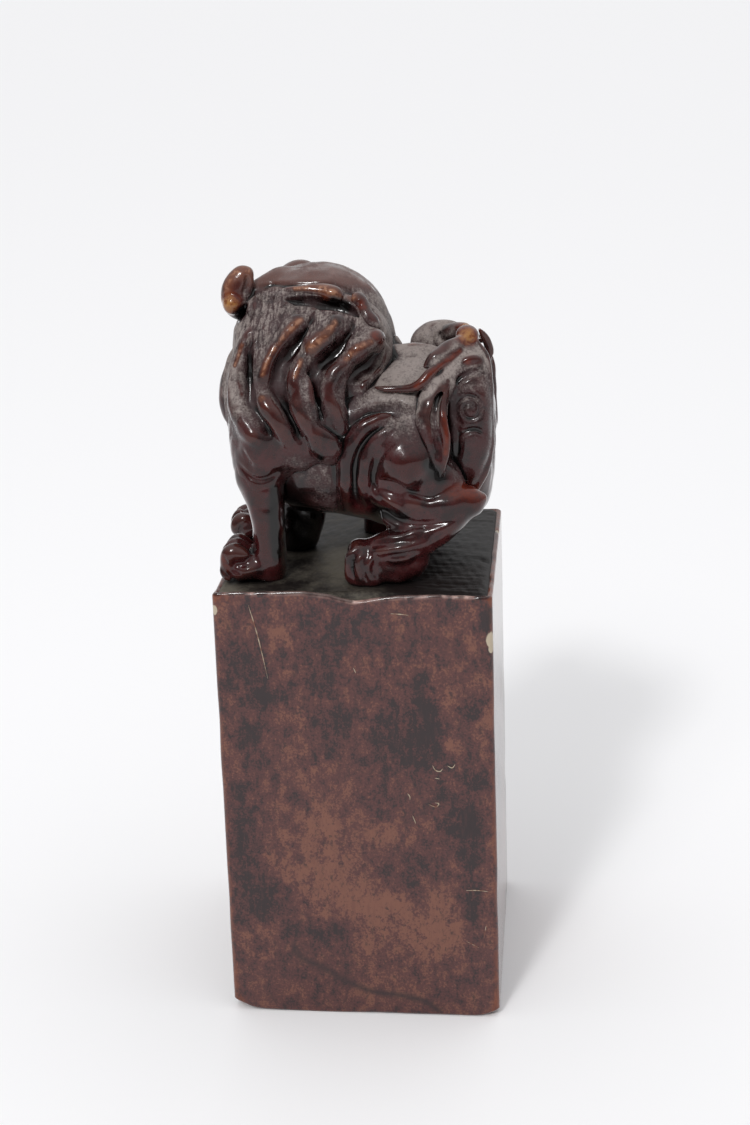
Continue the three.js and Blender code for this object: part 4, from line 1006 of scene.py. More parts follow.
# Crests rubbed to a warm brown, with a painted highlight streak down their middle
RUBBED_AND_HIGHLIGHT_MARKS = [
    [(-7, -5, 35.9, 0.4), (-4.6, -5.4, 36, 0.6), (-3, -5.6, 35.8, 1.1), (-1.6, -6, 35.2, 0.8)],
    [(0.1, -5.4, 34.9, 0.8)], [(-1.6, -9.6, 32.6, 0.5), (-3, -10.6, 31, 0.8), (-4.4, -11.6, 30, 0.9)],
    [(-5.8, -9.6, 33, 0.5), (-6.8, -10.2, 32.2, 0.65), (-8, -11.2, 31, 0.45)],
    [(-8, -11.2, 31, 0.35), (-9.4, -12.2, 29.2, 0.4), (-10.3, -12.8, 27, 0.4)],
    [(2.6, -9.2, 30, 0.5), (1.2, -10.2, 29.6, 0.65), (-0.2, -11.2, 28.6, 0.6)],
    [(-5.6, -12.3, 28.6, 0.4), (-6.3, -13.2, 26.8, 0.4)], [(-10.4, -13.6, 24.2, 0.5)],
    [(8.9, -1.4, 28.9, 0.8), (7, -1, 28.6, 0.5)], [(-13.2, -9.8, 30, 0.35), (-14.2, -9.8, 27.4, 0.35)],
    [(-15.9, -3.8, 34.6, 1.2), (-15.6, -3.6, 36, 0.8), (-14.6, -3.6, 37.6, 0.9), (-13.2, -3.4, 38, 1.1)],
]
# Where it glows orange red, as on the point of the hock
ORANGE_MARKS = [
    [(12.8, -12.2, 11.8, 0.9), (14.8, -12.2, 12, 1.3), (16.4, -12, 11.8, 1.1)],
    [(13.4, -7.4, 28.4, 0.3), (12.2, -8.6, 27.7, 0.35), (10, -10.5, 26.4, 0.35), (8.2, -11, 24.9, 0.3)],
    [(11.6, -12.2, 21.8, 0.3), (12, -12.9, 18.8, 0.35), (11.8, -13, 17, 0.3)], [(14.4, -7.8, 27.1, 0.4)],
    [(-3, -5.8, 35.2, 0.6), (-1.4, -6.2, 34.6, 0.6)], [(1.4, -6, 33.9, 0.7)], [(3.2, -8.2, 30.6, 0.7)],
    [(-16.7, -13, 3.4, 0.35), (-16, -13.2, 2, 0.3)], [(-9.9, -13.2, 23.2, 0.5)],
]
# Where it glows dark red
RED_MARKS = [
    [(13.4, -7, 28.4, 0.45), (12.2, -8.3, 27.8, 0.6), (10, -10.5, 26.4, 0.6), (8.4, -11, 25, 0.6),
     (5, -10.5, 24.2, 0.4), (2.4, -10.5, 24.3, 0.3)],
    [(12, -9.6, 25.2, 0.3), (11.5, -12.2, 21.8, 0.5), (12, -12.9, 18.8, 0.6), (11.6, -13, 16.4, 0.4)],
    [(11.6, -12.2, 11.8, 1.1), (13.6, -12.4, 11.8, 1.5), (15.6, -12.2, 11.6, 1.4), (16.6, -12, 11.2, 0.9)],
    [(4.6, -13.8, 14.6, 1.1), (6.8, -13.8, 15.4, 1.7), (8.6, -13, 15.4, 1.5)],
    [(-11.9, -13.2, 13, 0.7), (-11.5, -13.4, 10.5, 0.8), (-11.2, -13.6, 6, 0.8), (-11, -13.6, 3, 0.6)],
    [(-13.3, -13, 16, 0.7), (-12.6, -13.2, 14.4, 0.6)], [(-16.7, -13, 3.8, 0.7), (-15.8, -13.4, 1.8, 0.5)],
    [(-2.2, -12.6, 14.8, 0.7)], [(2.4, -12.4, 21.2, 0.7), (4.6, -12.4, 21.9, 0.7)],
    [(3.4, -8, 30.6, 1)], [(-9, -13.8, 22, 0.7), (-8.4, -13.8, 20.6, 0.5)], [(-14.2, -10.4, 22, 0.7)],
    [(-14.5, -4.4, 36.2, 0.9), (-14.3, -4.4, 34.8, 0.8)], [(14.2, -7.9, 27.2, 0.6), (16, -7.4, 27.2, 0.5)],
    [(7.4, -14.2, 6, 0.8)],
    [(-6.4, -13.2, 26, 0.5), (-6.2, -13.6, 24.4, 0.6)], [(-9, -11.8, 29.6, 0.6), (-10, -12.6, 27, 0.6)],
    [(-2.2, -12.4, 25.4, 0.6), (-2.4, -12.8, 23.4, 0.6)],
]
# Painted shade: drilled hollows that light hardly reaches, the gaps between thigh, tail and hock, the
# underside of the ear, the stone behind the far foreleg and the right third of the near foreleg
PAINTED_SHADE_MARKS = [
    [(-2.2, -5.8, 34.2, 0.9), (-0.8, -6, 33.8, 1)], [(-5.6, -10, 31.2, 0.5), (-7.4, -11.4, 28.8, 0.7)],
    [(-1.2, -10, 29.8, 0.7), (-3.2, -11.2, 27.8, 0.8)], [(2.9, -8.8, 28, 0.7), (0.9, -10.4, 26.2, 0.8)],
    [(-8, 1, 9, 3.4), (-8, 1, 4.5, 3.2), (-8.6, 1, 0, 3)],
    [(9.4, -12.4, 15.4, 0.9), (11, -11.8, 13.4, 1)], [(14, -9.6, 8.6, 1.2)],
    [(3, -11, 8.8, 0.9), (6.4, -12.4, 8.6, 0.8)], [(-3.6, -13.2, 16.6, 0.5)],
    [(-14.4, -4.6, 32.4, 0.8), (-13.4, -4.4, 33.6, 0.5)],
    [(-9.5, -13.4, 12.6, 0.7), (-9.7, -13.6, 9, 0.8), (-9.6, -13.6, 4, 0.9)],
]


def smooth_step(low, high, value):
    """The share t of the way from low to high, held between 0 and 1 and eased as 3t² - 2t³."""
    part = np.clip((value - low) / (high - low), 0, 1)
    return part * part * (3 - 2 * part)


def wear_and_painted_light_of(points, quads):
    """Numbers for the finish at each point: crest and hollow from the stone round it, painted shade from the
    stone round it and from the shade marks, dust from its place and slope, and amber, red and rubbed crests
    with their painted highlight from the marks."""
    fine, middle, broad = (stone_round(points, width) for width in (0.45, 1.0, 2.4))
    x, y = points[:, 0], points[:, 1]
    height = points[:, 2] - GROUND_TOP
    flat = smooth_step(-0.7, 0.8, facing_up(points, quads))
    # Dust grows with height, with less on the dome and the mane and more on the chest. The tail's rear
    # and the belly have a least amount of their own
    dust = 0.12 + 0.62 * smooth_step(16, 23, height)
    dome = smooth_step(34.2, 36.2, height + 0.37 * (y + 2)) * smooth_step(6, 4.5, x)
    dust -= 0.4 * dome
    dust -= 0.2 * smooth_step(4, 1, x) * (1 - dome)
    dust = np.maximum(dust, 0.55 * smooth_step(11.5, 13, x) * smooth_step(9, 13, height))
    dust -= 0.2 * smooth_step(12.4, 13.4, x) * smooth_step(27, 25, height)
    belly = smooth_step(-9.5, -8, x) * smooth_step(-1, -2.5, x) * smooth_step(6.5, 8.5, height)
    belly *= smooth_step(18, 16, height)
    dust = np.maximum(dust, 0.6 * belly)
    dust += 0.2 * smooth_step(-12.5, -14, x) * smooth_step(15, 18, height) * (1 - dome)

    def marked(marks):
        """The greatest closeness to any of the marks, or to its mirror image on the far side."""
        lines = [rows for mark in marks for rows in (mark, mirrored(mark))]
        return np.max([near_line(points, rows) for rows in lines], axis=0)

    # Painted shade: darker where more stone stands round a point, in hollows, creases and under overhangs
    painted_shade = np.clip((middle - 0.6) * 4.5, 0, 1) * 0.75 + np.clip((broad - 0.6) * 4, 0, 1) * 0.6
    painted_shade = np.maximum(painted_shade, 0.85 * np.clip((fine - 0.57) * 7, 0, 1))
    crest = (0.48 - fine) * 3.5 + (0.44 - middle) * 3.5 - 0.2 * smooth_step(23, 28, height)
    return {
        "crest": np.clip(crest, 0, 1),
        "hollow": np.clip((middle - 0.54) * 5, 0, 1),
        "painted_shade": np.maximum(painted_shade, marked(PAINTED_SHADE_MARKS)),
        "dust": dust * (0.62 + 0.38 * flat),
        "amber": marked(AMBER_MARKS),
        "rubbed": marked(RUBBED_AND_HIGHLIGHT_MARKS),
        "orange": marked(ORANGE_MARKS),
        "red": marked(RED_MARKS),
        "dome": dome,
        "hair": smooth_step(3, 0, x) * smooth_step(26, 30, height) * (1 - dome),
    }


# Blender's own side: meshes, materials, stage

def linear(colour):
    """An sRGB hex colour or triple as linear values: divided by 12.92 up to 0.04045, and above that the
    share of 1.055 that the value plus 0.055 makes, to the power of 2.4."""
    if isinstance(colour, str):
        colour = [int(colour[k:k + 2], 16) / 255 for k in (1, 3, 5)]
    return [value / 12.92 if value <= 0.04045 else ((value + 0.055) / 1.055) ** 2.4 for value in colour]


# Each node used: Blender's name, its settings, its inputs in the order they are given, and the output taken
NODES = {
    "object": ("ShaderNodeTexCoord", {}, (), "Object"),
    "direction": ("ShaderNodeTexCoord", {}, (), "Generated"),
    "attribute": ("ShaderNodeAttribute", {}, (), "Fac"),
    "mapping": ("ShaderNodeMapping", {}, ("Vector", "Scale"), 0),
    "noise": ("ShaderNodeTexNoise", {}, ("Vector", "Scale", "Detail", "Roughness", "Distortion"), 0),
    "mix": ("ShaderNodeMix", {"data_type": "RGBA", "clamp_factor": True}, (0, 6, 7), 2),
    "eased": ("ShaderNodeMapRange", {"interpolation_type": "SMOOTHSTEP"},
              ("Value", "From Min", "From Max", "To Min", "To Max"), 0),
    "dot": ("ShaderNodeVectorMath", {"operation": "DOT_PRODUCT"}, (0, 1), "Value"),
    "bump": ("ShaderNodeBump", {}, ("Height", "Strength", "Distance"), 0),
    "surface": ("ShaderNodeBsdfPrincipled", {}, ("Base Color", "Roughness", "Normal"), 0),
    "glow": ("ShaderNodeBackground", {}, ("Color", "Strength"), 0),
    "material": ("ShaderNodeOutputMaterial", {}, ("Surface",), None),
    "world": ("ShaderNodeOutputWorld", {}, ("Surface",), None),
}
for word in ("ADD", "SUBTRACT", "MULTIPLY", "MULTIPLY_ADD"):
    NODES[word.lower()] = ("ShaderNodeMath", {"operation": word}, (0, 1, 2), 0)


def add_node(tree, kind, *inputs, named=None, **settings):
    """Adds a node from the list above. Its inputs, in order or by name, are each a number, an sRGB colour or
    another node's output. Gives back the output that is used."""
    blender_name, fixed, sockets, output = NODES[kind]
    node = tree.nodes.new(blender_name)
    for name, value in {**fixed, **settings}.items():
        setattr(node, name, value)
    for name, value in (*zip(sockets, inputs), *(named or {}).items()):
        socket = node.inputs[name]
        if isinstance(value, bpy.types.NodeSocket):
            tree.links.new(value, socket)
        elif socket.type == "RGBA":
            socket.default_value = (*linear(value), 1)
        else:
            socket.default_value = value
    return None if output is None else node.outputs[output]


def add_mesh(name, points, quads, material, values=None, welded=False):
    """A smooth mesh from points in mm and quads, with a number per point for each named attribute. Where a
    grid's rings shrink to poles or meet at a seam, welding makes their points one."""
    mesh = bpy.data.meshes.new(name)
    mesh.vertices.add(len(points))
    mesh.vertices.foreach_set("co", (points * MM).astype(np.float32).ravel())
    mesh.loops.add(quads.size)
    mesh.loops.foreach_set("vertex_index", quads.astype(np.int32).ravel())
    mesh.polygons.add(len(quads))
    mesh.polygons.foreach_set("loop_start", np.arange(0, quads.size, 4, dtype=np.int32))
    mesh.update(calc_edges=True)
    if mesh.validate():
        raise RuntimeError(f"{name} had faulty faces")
    mesh.shade_smooth()
    for title, column in (values or {}).items():
        attribute = mesh.attributes.new(title, "FLOAT", "POINT")
        attribute.data.foreach_set("value", column.astype(np.float32))
    if welded:
        form = bmesh.new()
        form.from_mesh(mesh)
        bmesh.ops.remove_doubles(form, verts=form.verts, dist=1e-7)
        form.to_mesh(mesh)
        form.free()
    mesh.materials.append(material)
    piece = bpy.data.objects.new(name, mesh)
    bpy.context.scene.collection.objects.link(piece)
    return piece


def new_material(name, *titles):
    """An empty material, with a short way to add its nodes, and the outputs of the named attributes."""
    material = bpy.data.materials.new(name)
    material.use_nodes = True
    material.node_tree.nodes.clear()
    add = functools.partial(add_node, material.node_tree)
    return material, add, {title: add("attribute", attribute_name=title) for title in titles}


def repeats(size, stretch=(1, 1, 1)):
    """How often a pattern whose features have the size in mm repeats in a metre, along x, y and z, where it
    may be stretched."""
    return [1 / MM / size / part for part in stretch]


def carved_stone(colours):
    """Dyed soapstone, carved, rubbed and waxed: painted shade near black in the drilled hollows, speckled
    grey dust on flats and in shallow valleys, red brown and glossy on the crests, amber where the dye is
    rubbed away, and a painted highlight streak down the rubbed locks."""
    material, add, value = new_material(
        "Dyed soapstone, waxed carving",
        "crest", "hollow", "painted_shade", "dust", "amber", "rubbed", "orange", "red", "dome", "hair")
    # Dye clouds of 2.4 mm, patchy wax of 0.8 mm, combed lines 0.3 mm wide and the wavy skin of the wax.
    # Real dust is under 0.1 mm, and its specks are drawn 0.24 mm wide, so that they show.
    place = add("object")
    blotch = add("noise", add("mapping", place, repeats(2.4)), 1, 5, 0.65)
    mottle = add("noise", add("mapping", place, repeats(0.8)), 1, 4, 0.65, 0.4)
    speck = add("noise", add("mapping", place, repeats(0.24)), 1, 3, 0.7)
    comb = add("noise", add("mapping", place, repeats(0.3, (1, 5, 5))), 1, 2, 0.6)
    skin = add("noise", add("mapping", place, repeats(1.3)), 1, 2, 0.55)
    # Dye: dark, redder in clouds, warmer on the crests, and thin where it is rubbed; over it a painted
    # highlight streak in the rubbed locks and a painted shade near black in the hollows
    uneven = add("eased", mottle, 0.3, 0.62, 0.35, 1)
    dyed = add("mix", add("eased", blotch, 0.35, 0.65), colours.lion_dark, colours.lion_red)
    crest = add("multiply", value["crest"], add("eased", blotch, 0.3, 0.6, 0.4, 1))
    dyed = add("mix", add("eased", crest, 0.15, 0.9, 0, 0.75), dyed, colours.lion_crest)
    dome = add("multiply", value["dome"], add("eased", blotch, 0.3, 0.6, 0.6, 0.95))
    dyed = add("mix", dome, dyed, colours.dome)
    red = add("multiply", value["red"], uneven)
    dyed = add("mix", add("eased", red, 0.08, 0.9, 0, 0.9), dyed, colours.ember)
    dyed = add("mix", add("multiply", value["orange"], uneven), dyed, colours.orange)
    rubbed = add("multiply", value["rubbed"], add("eased", mottle, 0.3, 0.6, 0.5, 1))
    amber = add("multiply", value["amber"], add("eased", mottle, 0.3, 0.6, 0.55, 1))
    for part, low, high, most, colour in (
        (rubbed, 0.1, 1, 0.9, colours.rubbed), (rubbed, 0.7, 1, 0.6, colours.painted_highlight_core),
        (amber, 0.05, 0.6, 1, colours.orange), (amber, 0.3, 1.1, 1, colours.amber),
        (value["painted_shade"], 0.05, 0.8, 1, colours.painted_shade_tone),
    ):
        dyed = add("mix", add("eased", part, low, high, 0, most), dyed, colour)

    # Dust: it lies on flats and in valleys, and is wiped off whatever is rubbed or deep
    lift = add("multiply_add", speck, 0.6, add("multiply_add", mottle, 0.5, -0.55))
    dust = add("add", value["dust"], add("multiply_add", blotch, 1, lift))
    dust = add("multiply_add", value["hollow"], 0.15, dust)
    dust = add("eased", dust, 0.55, 1.3)
    # Dust: it lies on flats and in valleys, and is wiped off whatever is rubbed, and kept off the painted
    # shade
    for name, low, high, kept in (
        ("crest", 0.1, 0.6, 0.05), ("painted_shade", 0.12, 0.6, 0), ("amber", 0.08, 0.5, 0.05),
        ("red", 0.15, 0.7, 0.1), ("orange", 0.15, 0.6, 0.1), ("rubbed", 0.15, 0.7, 0.1),
    ):
        dust = add("multiply", dust, add("eased", value[name], low, high, 1, kept), use_clamp=True)
    pale = add("multiply_add", speck, 0.7, add("multiply", mottle, 0.5))
    pale = add("multiply_add", value["dust"], 0.8, add("subtract", pale, 0.46))
    # The dust's grey is darkened in hollows: a painted shade
    pale = add("multiply_add", value["hollow"], -0.3, pale)
    combed = add("multiply", value["hair"], add("subtract", comb, 0.5))
    pale = add("multiply_add", combed, 1.2, pale)
    grey = add("mix", add("eased", pale, 0.4, 0.8), colours.dust_dark, colours.dust)
    colour = add("mix", add("multiply", dust, 0.9), dyed, grey)

    # Wax: a thin glossy coat that the dust dulls
    rough = add("multiply_add", speck, 0.14, add("subtract", add("eased", dust, 0, 0.8, 0.2, 0.5), 0.07))
    height = add("multiply_add", skin, 2.5, add("multiply_add", combed, 4, add("multiply", speck, 0.6)))
    add("material", add("surface", colour, rough, add("bump", height, 0.5, 0.04 * MM), named={
        "Coat Weight": add("eased", dust, 0, 0.6, 1, 0.05), "Coat Roughness": 0.06, "Coat IOR": 1.36,
        "IOR": 1.45, "Specular IOR Level": 0.2}))
    return material


def block_stone(colours):
    """Sawn and polished soapstone under dye and wax: cloudy browns with darker blotches and upright streaks,
    a hazy sheen, amber where the edges are rubbed, pale stone in the chips, and a painted highlight line
    along the front rim."""
    material, add, value = new_material(
        "Dyed soapstone, polished block", "tint", "edge", "bare", "vein", "lip", "rim")
    # Clouds of 5 mm, clots of 1.5 mm and specks of 0.75 mm in the dye. Real saw streaks and grain are finer
    # than 0.1 mm, and they are drawn 0.45 and 0.3 mm wide, so that they show.
    place = add("object")
    cloud = add("noise", add("mapping", place, repeats(5)), 1, 5, 0.62, 0.5)
    clot = add("noise", add("mapping", place, repeats(1.5, (1, 1, 1.5))), 1, 5, 0.68, 0.3)
    streak = add("noise", add("mapping", place, repeats(0.45, (1, 1, 5))), 1, 2, 0.6)
    grain = add("noise", add("mapping", place, repeats(0.3)), 1, 3, 0.7)
    speck = add("noise", add("mapping", place, repeats(0.75, (1, 1, 1.6))), 1, 4, 0.7, 0.6)
    shade = add("multiply_add", value["tint"], 0.38, cloud)
    for part, weight in ((clot, 1.6), (streak, 0.35), (grain, 1.3)):
        shade = add("multiply_add", add("subtract", part, 0.5), weight, shade)
    colour = add("mix", add("eased", shade, 0.15, 0.46), colours.block_dark, colours.block_brown)
    edge = add("multiply", value["edge"], add("eased", clot, 0.3, 0.6, 0.3, 1))
    bare = add("add", value["bare"], add("multiply_add", clot, 0.7, -0.35))
    # The rim value is a painted highlight line just under the front rim
    rim = add("multiply", value["rim"], add("eased", clot, 0.35, 0.55, 0.2, 1))
    lip = add("eased", value["lip"], 0.2, 0.7)
    for part, laid_on in (
        (add("eased", shade, 0.5, 0.84), colours.block_tan),
        (add("eased", speck, 0.53, 0.7, 0, 0.75), colours.block_dark),
        (add("eased", streak, 0.5, 0.75, 0, 0.3), colours.block_brown),
        (add("multiply", value["vein"], 0.85), colours.block_dark),
        (add("eased", edge, 0.15, 1, 0, 0.85), colours.block_edge),
        (add("eased", bare, 0.45, 0.65), colours.pale_stone),
        (rim, colours.rim),
        (add("multiply", lip, 0.8), colours.lion_dark),
    ):
        colour = add("mix", part, colour, laid_on)
    rough = add("multiply_add", lip, -0.3, add("multiply_add", clot, 0.2, 0.38))
    bump = add("bump", add("add", streak, grain), 0.2, 0.02 * MM)
    add("material", add("surface", colour, rough, bump, named={
        "IOR": 1.42, "Coat Weight": 1, "Coat Roughness": 0.12, "Coat IOR": 1.25}))
    return material


def ground_stone(colours):
    """Soapstone left from the chisel: dull and dark, with dust lying in the tool marks, a painted shade under
    the lion and a painted pool of light in the lit middle.
    """
    material, add, value = new_material("Dyed soapstone, chiselled ground", "worn", "shade")
    # Dark clouds of 4 mm and dust drifts of 1.1 mm over chisel marks 0.7 mm wide. The dust's specks are
    # drawn 0.35 mm wide, coarser than real ones, so that they show.
    place = add("object")
    cloud = add("noise", add("mapping", place, repeats(4)), 1, 4, 0.6)
    drift = add("noise", add("mapping", place, repeats(1.1)), 1, 4, 0.65)
    speck = add("noise", add("mapping", place, repeats(0.35)), 1, 3, 0.7)
    chisel = add("noise", add("mapping", place, repeats(0.7, (2.2, 1, 1))), 1, 3, 0.6)
    dusty = add("add", add("multiply_add", cloud, 1.1, -0.25), value["worn"])
    dusty = add("multiply_add", speck, 0.8, dusty)
    dusty = add("multiply_add", drift, 0.5, dusty)
    colour = add("mix", add("eased", dusty, 0.75, 1.6), colours.ground_dark, colours.ground_dust)
    # Where the lion's stone stands close above, the ground is darkened towards the near-black shade colour: a
    # painted shade
    colour = add("mix", add("eased", value["shade"], 0.2, 0.9, 0, 0.8), colour, colours.painted_shade_tone)
    rough = add("eased", dusty, 0.7, 1.5, 0.45, 0.65)
    bump = add("bump", add("add", speck, chisel), 0.6, 0.06 * MM)
    add("material", add("surface", colour, rough, bump, named={"IOR": 1.3}))
    return material


def scratch_stone(colours):
    """Fine scratches through the dye, where bare stone powder catches the light."""
    material, add, _ = new_material("Bare soapstone, scratch powder")
    powder = add("noise", add("mapping", add("object"), repeats(0.8)), 1, 3, 0.55)
    colour = add("mix", add("eased", powder, 0.35, 0.6), colours.block_tan, colours.pale_stone)
    add("material", add("surface", colour, 0.7))
    return material


def matt_paper(colours):
    """Matt paper of the studio: pale, with no shine."""
    material, add, _ = new_material("Pale matt paper")
    add("material", add("surface", colours.floor, 0.95, named={"Specular IOR Level": 0}))
    return material


MATERIALS = {}


def material_for(name):
    """Each finish is made once, from the scene's colours."""
    makers = {
        "lion": carved_stone, "block": block_stone, "ground": ground_stone, "scratch": scratch_stone,
        "paper": matt_paper,
    }
    if name not in MATERIALS:
        MATERIALS[name] = makers[name](bpy.context.scene.lion_seal_colours)
    return MATERIALS[name]


# Block

def square_outline(count_flat, count_round, round_share):
    """Points round a square of half width 1 with rounded corners: straight rows, closer together near
    the corners, joined by quarter circles."""
    flat = np.sin(np.linspace(-1, 1, count_flat, endpoint=False) * np.pi / 2) * (1 - round_share)
    turn = np.linspace(-np.pi / 2, 0, count_round, endpoint=False)
    side = np.concatenate([
        np.stack([flat, -np.ones(count_flat)], 1),
        np.stack([np.cos(turn), np.sin(turn)], 1) * round_share + [1 - round_share, round_share - 1],
    ])
    quarter = [side]
    for _ in range(3):
        side = np.stack([-side[:, 1], side[:, 0]], 1)
        quarter.append(side)
    return np.concatenate(quarter)


def wavy(points, length, seed, waves=9):
    """A sum of waves in seeded directions, about -1 to 1."""
    rng = np.random.default_rng(seed)
    total = np.zeros(len(points))
    for _ in range(waves):
        way = rng.normal(size=3)
        way *= 2 * np.pi / length / np.linalg.norm(way) * rng.uniform(0.5, 1.6)
        total += np.sin(points @ way + rng.uniform(0, 2 * np.pi))
    return total / np.sqrt(waves)


def rim_height(x):
    """Height of the front top edge along the block, on straight lines between points, with its dip right of
    the middle."""
    places = [-17.5, -14, -6, -2.8, -1.3, 0.4, 3, 6, 12, 17.5]
    heights = [60.4, 60.5, 60.55, 60.2, 59.75, 59.4, 59.75, 60.05, 60.2, 60.15]
    return np.interp(x, places, heights)


def half_width(height):
    """Half the block's width at a height, narrowing evenly from foot to rim."""
    return FOOT_HALF + (TOP_HALF - FOOT_HALF) * height / BLOCK_TOP


# Chips in the edges: x, y, z, size, depth
CHIPS = [
    (17.4, -17.6, 54.6, 1.1, 0.35), (17.5, -17.6, 53.5, 0.9, 0.3), (17.6, -17.7, 50.9, 0.35, 0.15),
    (17.6, -17.7, 44.4, 0.3, 0.1), (17.7, -17.8, 41, 0.25, 0.1), (-17.4, -17.5, 58.4, 0.8, 0.3),
    (-17.5, -17.5, 55.2, 0.3, 0.1), (-17.6, 17.6, 42, 1.1, 0.4), (17.8, 17.8, 20, 1.4, 0.5),
    (-17.5, 17.5, 59.5, 1.2, 0.5), (3, 17.5, 60, 0.9, 0.4), (17.4, 8, 60, 0.8, 0.3),
    (-17.4, 3, 60, 0.7, 0.25),
]
# Foot corners worn away: x, y, z, reach, depth
WORN_CORNERS = [
    (-18.4, -18.4, -0.6, 3.6, 1.7), (18.4, -18.4, -0.6, 3, 1.2), (-18.4, 18.4, -0.4, 2.6, 1),
    (18.4, 18.4, -0.4, 3, 1.1),
]
# Blotches in the dye: x, y, z, half width, half height, darker below 0 and lighter above
BLOTCHES = [
    (8.7, -18, 46, 2.2, 3.6, -1), (8.8, -18, 40.6, 1.4, 4, -0.9), (4.2, -18, 41.4, 5.2, 3, -0.9),
    (3.3, -18, 34.6, 1.4, 3, -0.8), (-1.6, -18, 42.8, 1.8, 2, -0.8), (-5.6, -18, 43.4, 1.3, 1.6, -0.9),
    (-4.1, -18, 48, 0.9, 1.1, -0.8), (-11.6, -18, 46.6, 1.4, 2, -0.8), (-13.5, -18, 51, 3.6, 6.5, -0.6),
    (-12.5, -18, 40.4, 3.4, 2.4, -0.5), (-14.8, -18, 27, 2.4, 9, -0.7), (-12.8, -18, 17.4, 2.8, 3.4, -1),
    (-3.2, -18, 12.6, 2.2, 1.2, -0.9), (-6.8, -18, 38, 4, 1.2, -0.5), (10.3, -18, 34.6, 0.9, 2.2, -0.7),
    (14.8, -18, 45, 1.6, 2, -0.8), (15, -18, 35.4, 1.6, 1.8, -0.9), (13.8, -18, 29.6, 2, 2.6, -1),
    (14.3, -18, 24.6, 1.4, 3.6, -1), (14.6, -18, 16.4, 1.6, 4.4, -1.1), (16.8, -18, 57, 0.7, 1.6, -1.3),
    (5.6, -18, 22.4, 3, 2.4, -0.7), (0.4, -18, 57.4, 3, 1.2, -0.5), (-9.3, -18, 13.4, 2.2, 2, -0.6),
    (11, -18, 28.6, 0.9, 2.4, -0.6), (-14, -18, 8, 3, 3, -0.3), (6.8, -18, 38, 2.4, 1, -0.5),
    (-9, -18, 55, 2, 2.6, 0.55), (0, -18, 53, 15, 6, -0.35), (12.2, -18, 46.4, 1, 1.8, 0.9),
    (-4.6, -18, 28, 4.4, 3.4, 0.7), (3.4, -18, 27.4, 2.8, 2.6, 0.7), (-5, -18, 21, 5.4, 3.4, 0.9),
    (9.6, -18, 13, 4.4, 5, 1), (2.6, -18, 12, 3.6, 3, 0.6), (1, -18, 17, 5, 2.4, 0.8),
    (12.2, -18, 40.4, 1, 1.2, 0.9), (-9, -18, 38.6, 2, 1.6, 0.6), (-5, -18, 36.6, 2, 1.4, 0.5),
    (16.4, -18, 40, 0.8, 4, 0.5), (-16, -18, 37, 1, 3, 0.6), (-18, -8, 44, 6, 7, -0.8),
    (-18, 6, 26, 7, 6, -0.6), (-18, -6, 14, 5, 6, 0.7), (-18, 8, 50, 5, 6, 0.5), (18, -7, 30, 6, 8, -0.8),
    (18, 8, 46, 5, 6, -0.7), (18, 5, 14, 7, 6, 0.7), (18, -4, 52, 6, 4, 0.5), (-8, 18, 40, 6, 8, -0.8),
    (7, 18, 22, 7, 6, -0.7), (6, 18, 48, 6, 5, 0.6), (-6, 18, 14, 7, 6, 0.7),
]
# A dark vein across the foot of the front: x, y, z
VEIN = [
    (-9.3, -18, 10.2), (-8.6, -18, 8.6), (-5.6, -18, 7), (-2.7, -18, 5.1), (1, -18, 3.5), (4.7, -18, 3),
    (8, -18, 2.2), (9.8, -18, 0.8),
]
# Dark rings in the dye: x, y, z, radius
RINGS = [(14.9, -18, 45.2, 1.3), (15.1, -18, 35.6, 1.5), (13, -18, 29, 1.7)]


def block_points():
    """The outline at each step of a profile, from the foot's middle up to the rim and in to the top's
    middle, with quarter circles for worn edges. A step's share scales the half width at its height. Gives
    the points, their quads and each point's place on the outline."""
    outline = square_outline(110, 9, CORNER_ROUND / TOP_HALF)
    rise = 0.5 - 0.5 * np.cos(np.linspace(0, np.pi, 150))
    lip = np.linspace(0, np.pi / 2, 7)
    wear = EDGE_WEAR
    inward = wear / FOOT_HALF
    profile = [(share, 0.0) for share in np.linspace(0, 1 - inward, 9)]
    profile += [(1 - inward * (1 - np.sin(a)), wear * (1 - np.cos(a))) for a in lip[1:]]
    profile += [(1.0, wear + (BLOCK_TOP - 2 * wear) * share) for share in rise[1:-1]]
    profile += [(1 - inward * (1 - np.cos(a)), BLOCK_TOP - wear * (1 - np.sin(a))) for a in lip]
    profile += [(share, BLOCK_TOP) for share in np.linspace(1 - inward, 0, 12)[1:]]
    profile = np.array(profile)
    sides = len(outline)
    level = np.repeat(profile[:, 1], sides)
    reach = np.repeat(profile[:, 0], sides) * half_width(level)
    round_ = np.tile(outline, (len(profile), 1))
    points = np.column_stack([round_ * reach[:, None], level])
    return points, closed_quads(len(profile), sides), round_


class LIONSEAL_PG_sizes(bpy.types.PropertyGroup):
    """Sizes that may be changed before the pieces are built."""
    scratch_width: bpy.props.FloatProperty(
        name="Scratch width", description="Width of the scratches on the block's front",
        default=0.00009, min=0.00002, max=0.0005, unit="LENGTH", precision=5)
    lens: bpy.props.FloatProperty(
        name="Lens", description="Focal length on a 36 mm long frame",
        default=57.6, min=20, max=200, unit="CAMERA")
    floor_reach: bpy.props.FloatProperty(
        name="Floor reach", description="How far the floor runs from the seal on each side",
        default=12, min=1, max=50, unit="LENGTH")


def colour_setting(name, text, value):
    """A colour that the user may change, with its default from an sRGB hex value."""
    return bpy.props.FloatVectorProperty(
        name=name, description=text, subtype="COLOR_GAMMA", size=3, min=0, max=1,
        default=[int(value[k:k + 2], 16) / 255 for k in (1, 3, 5)])


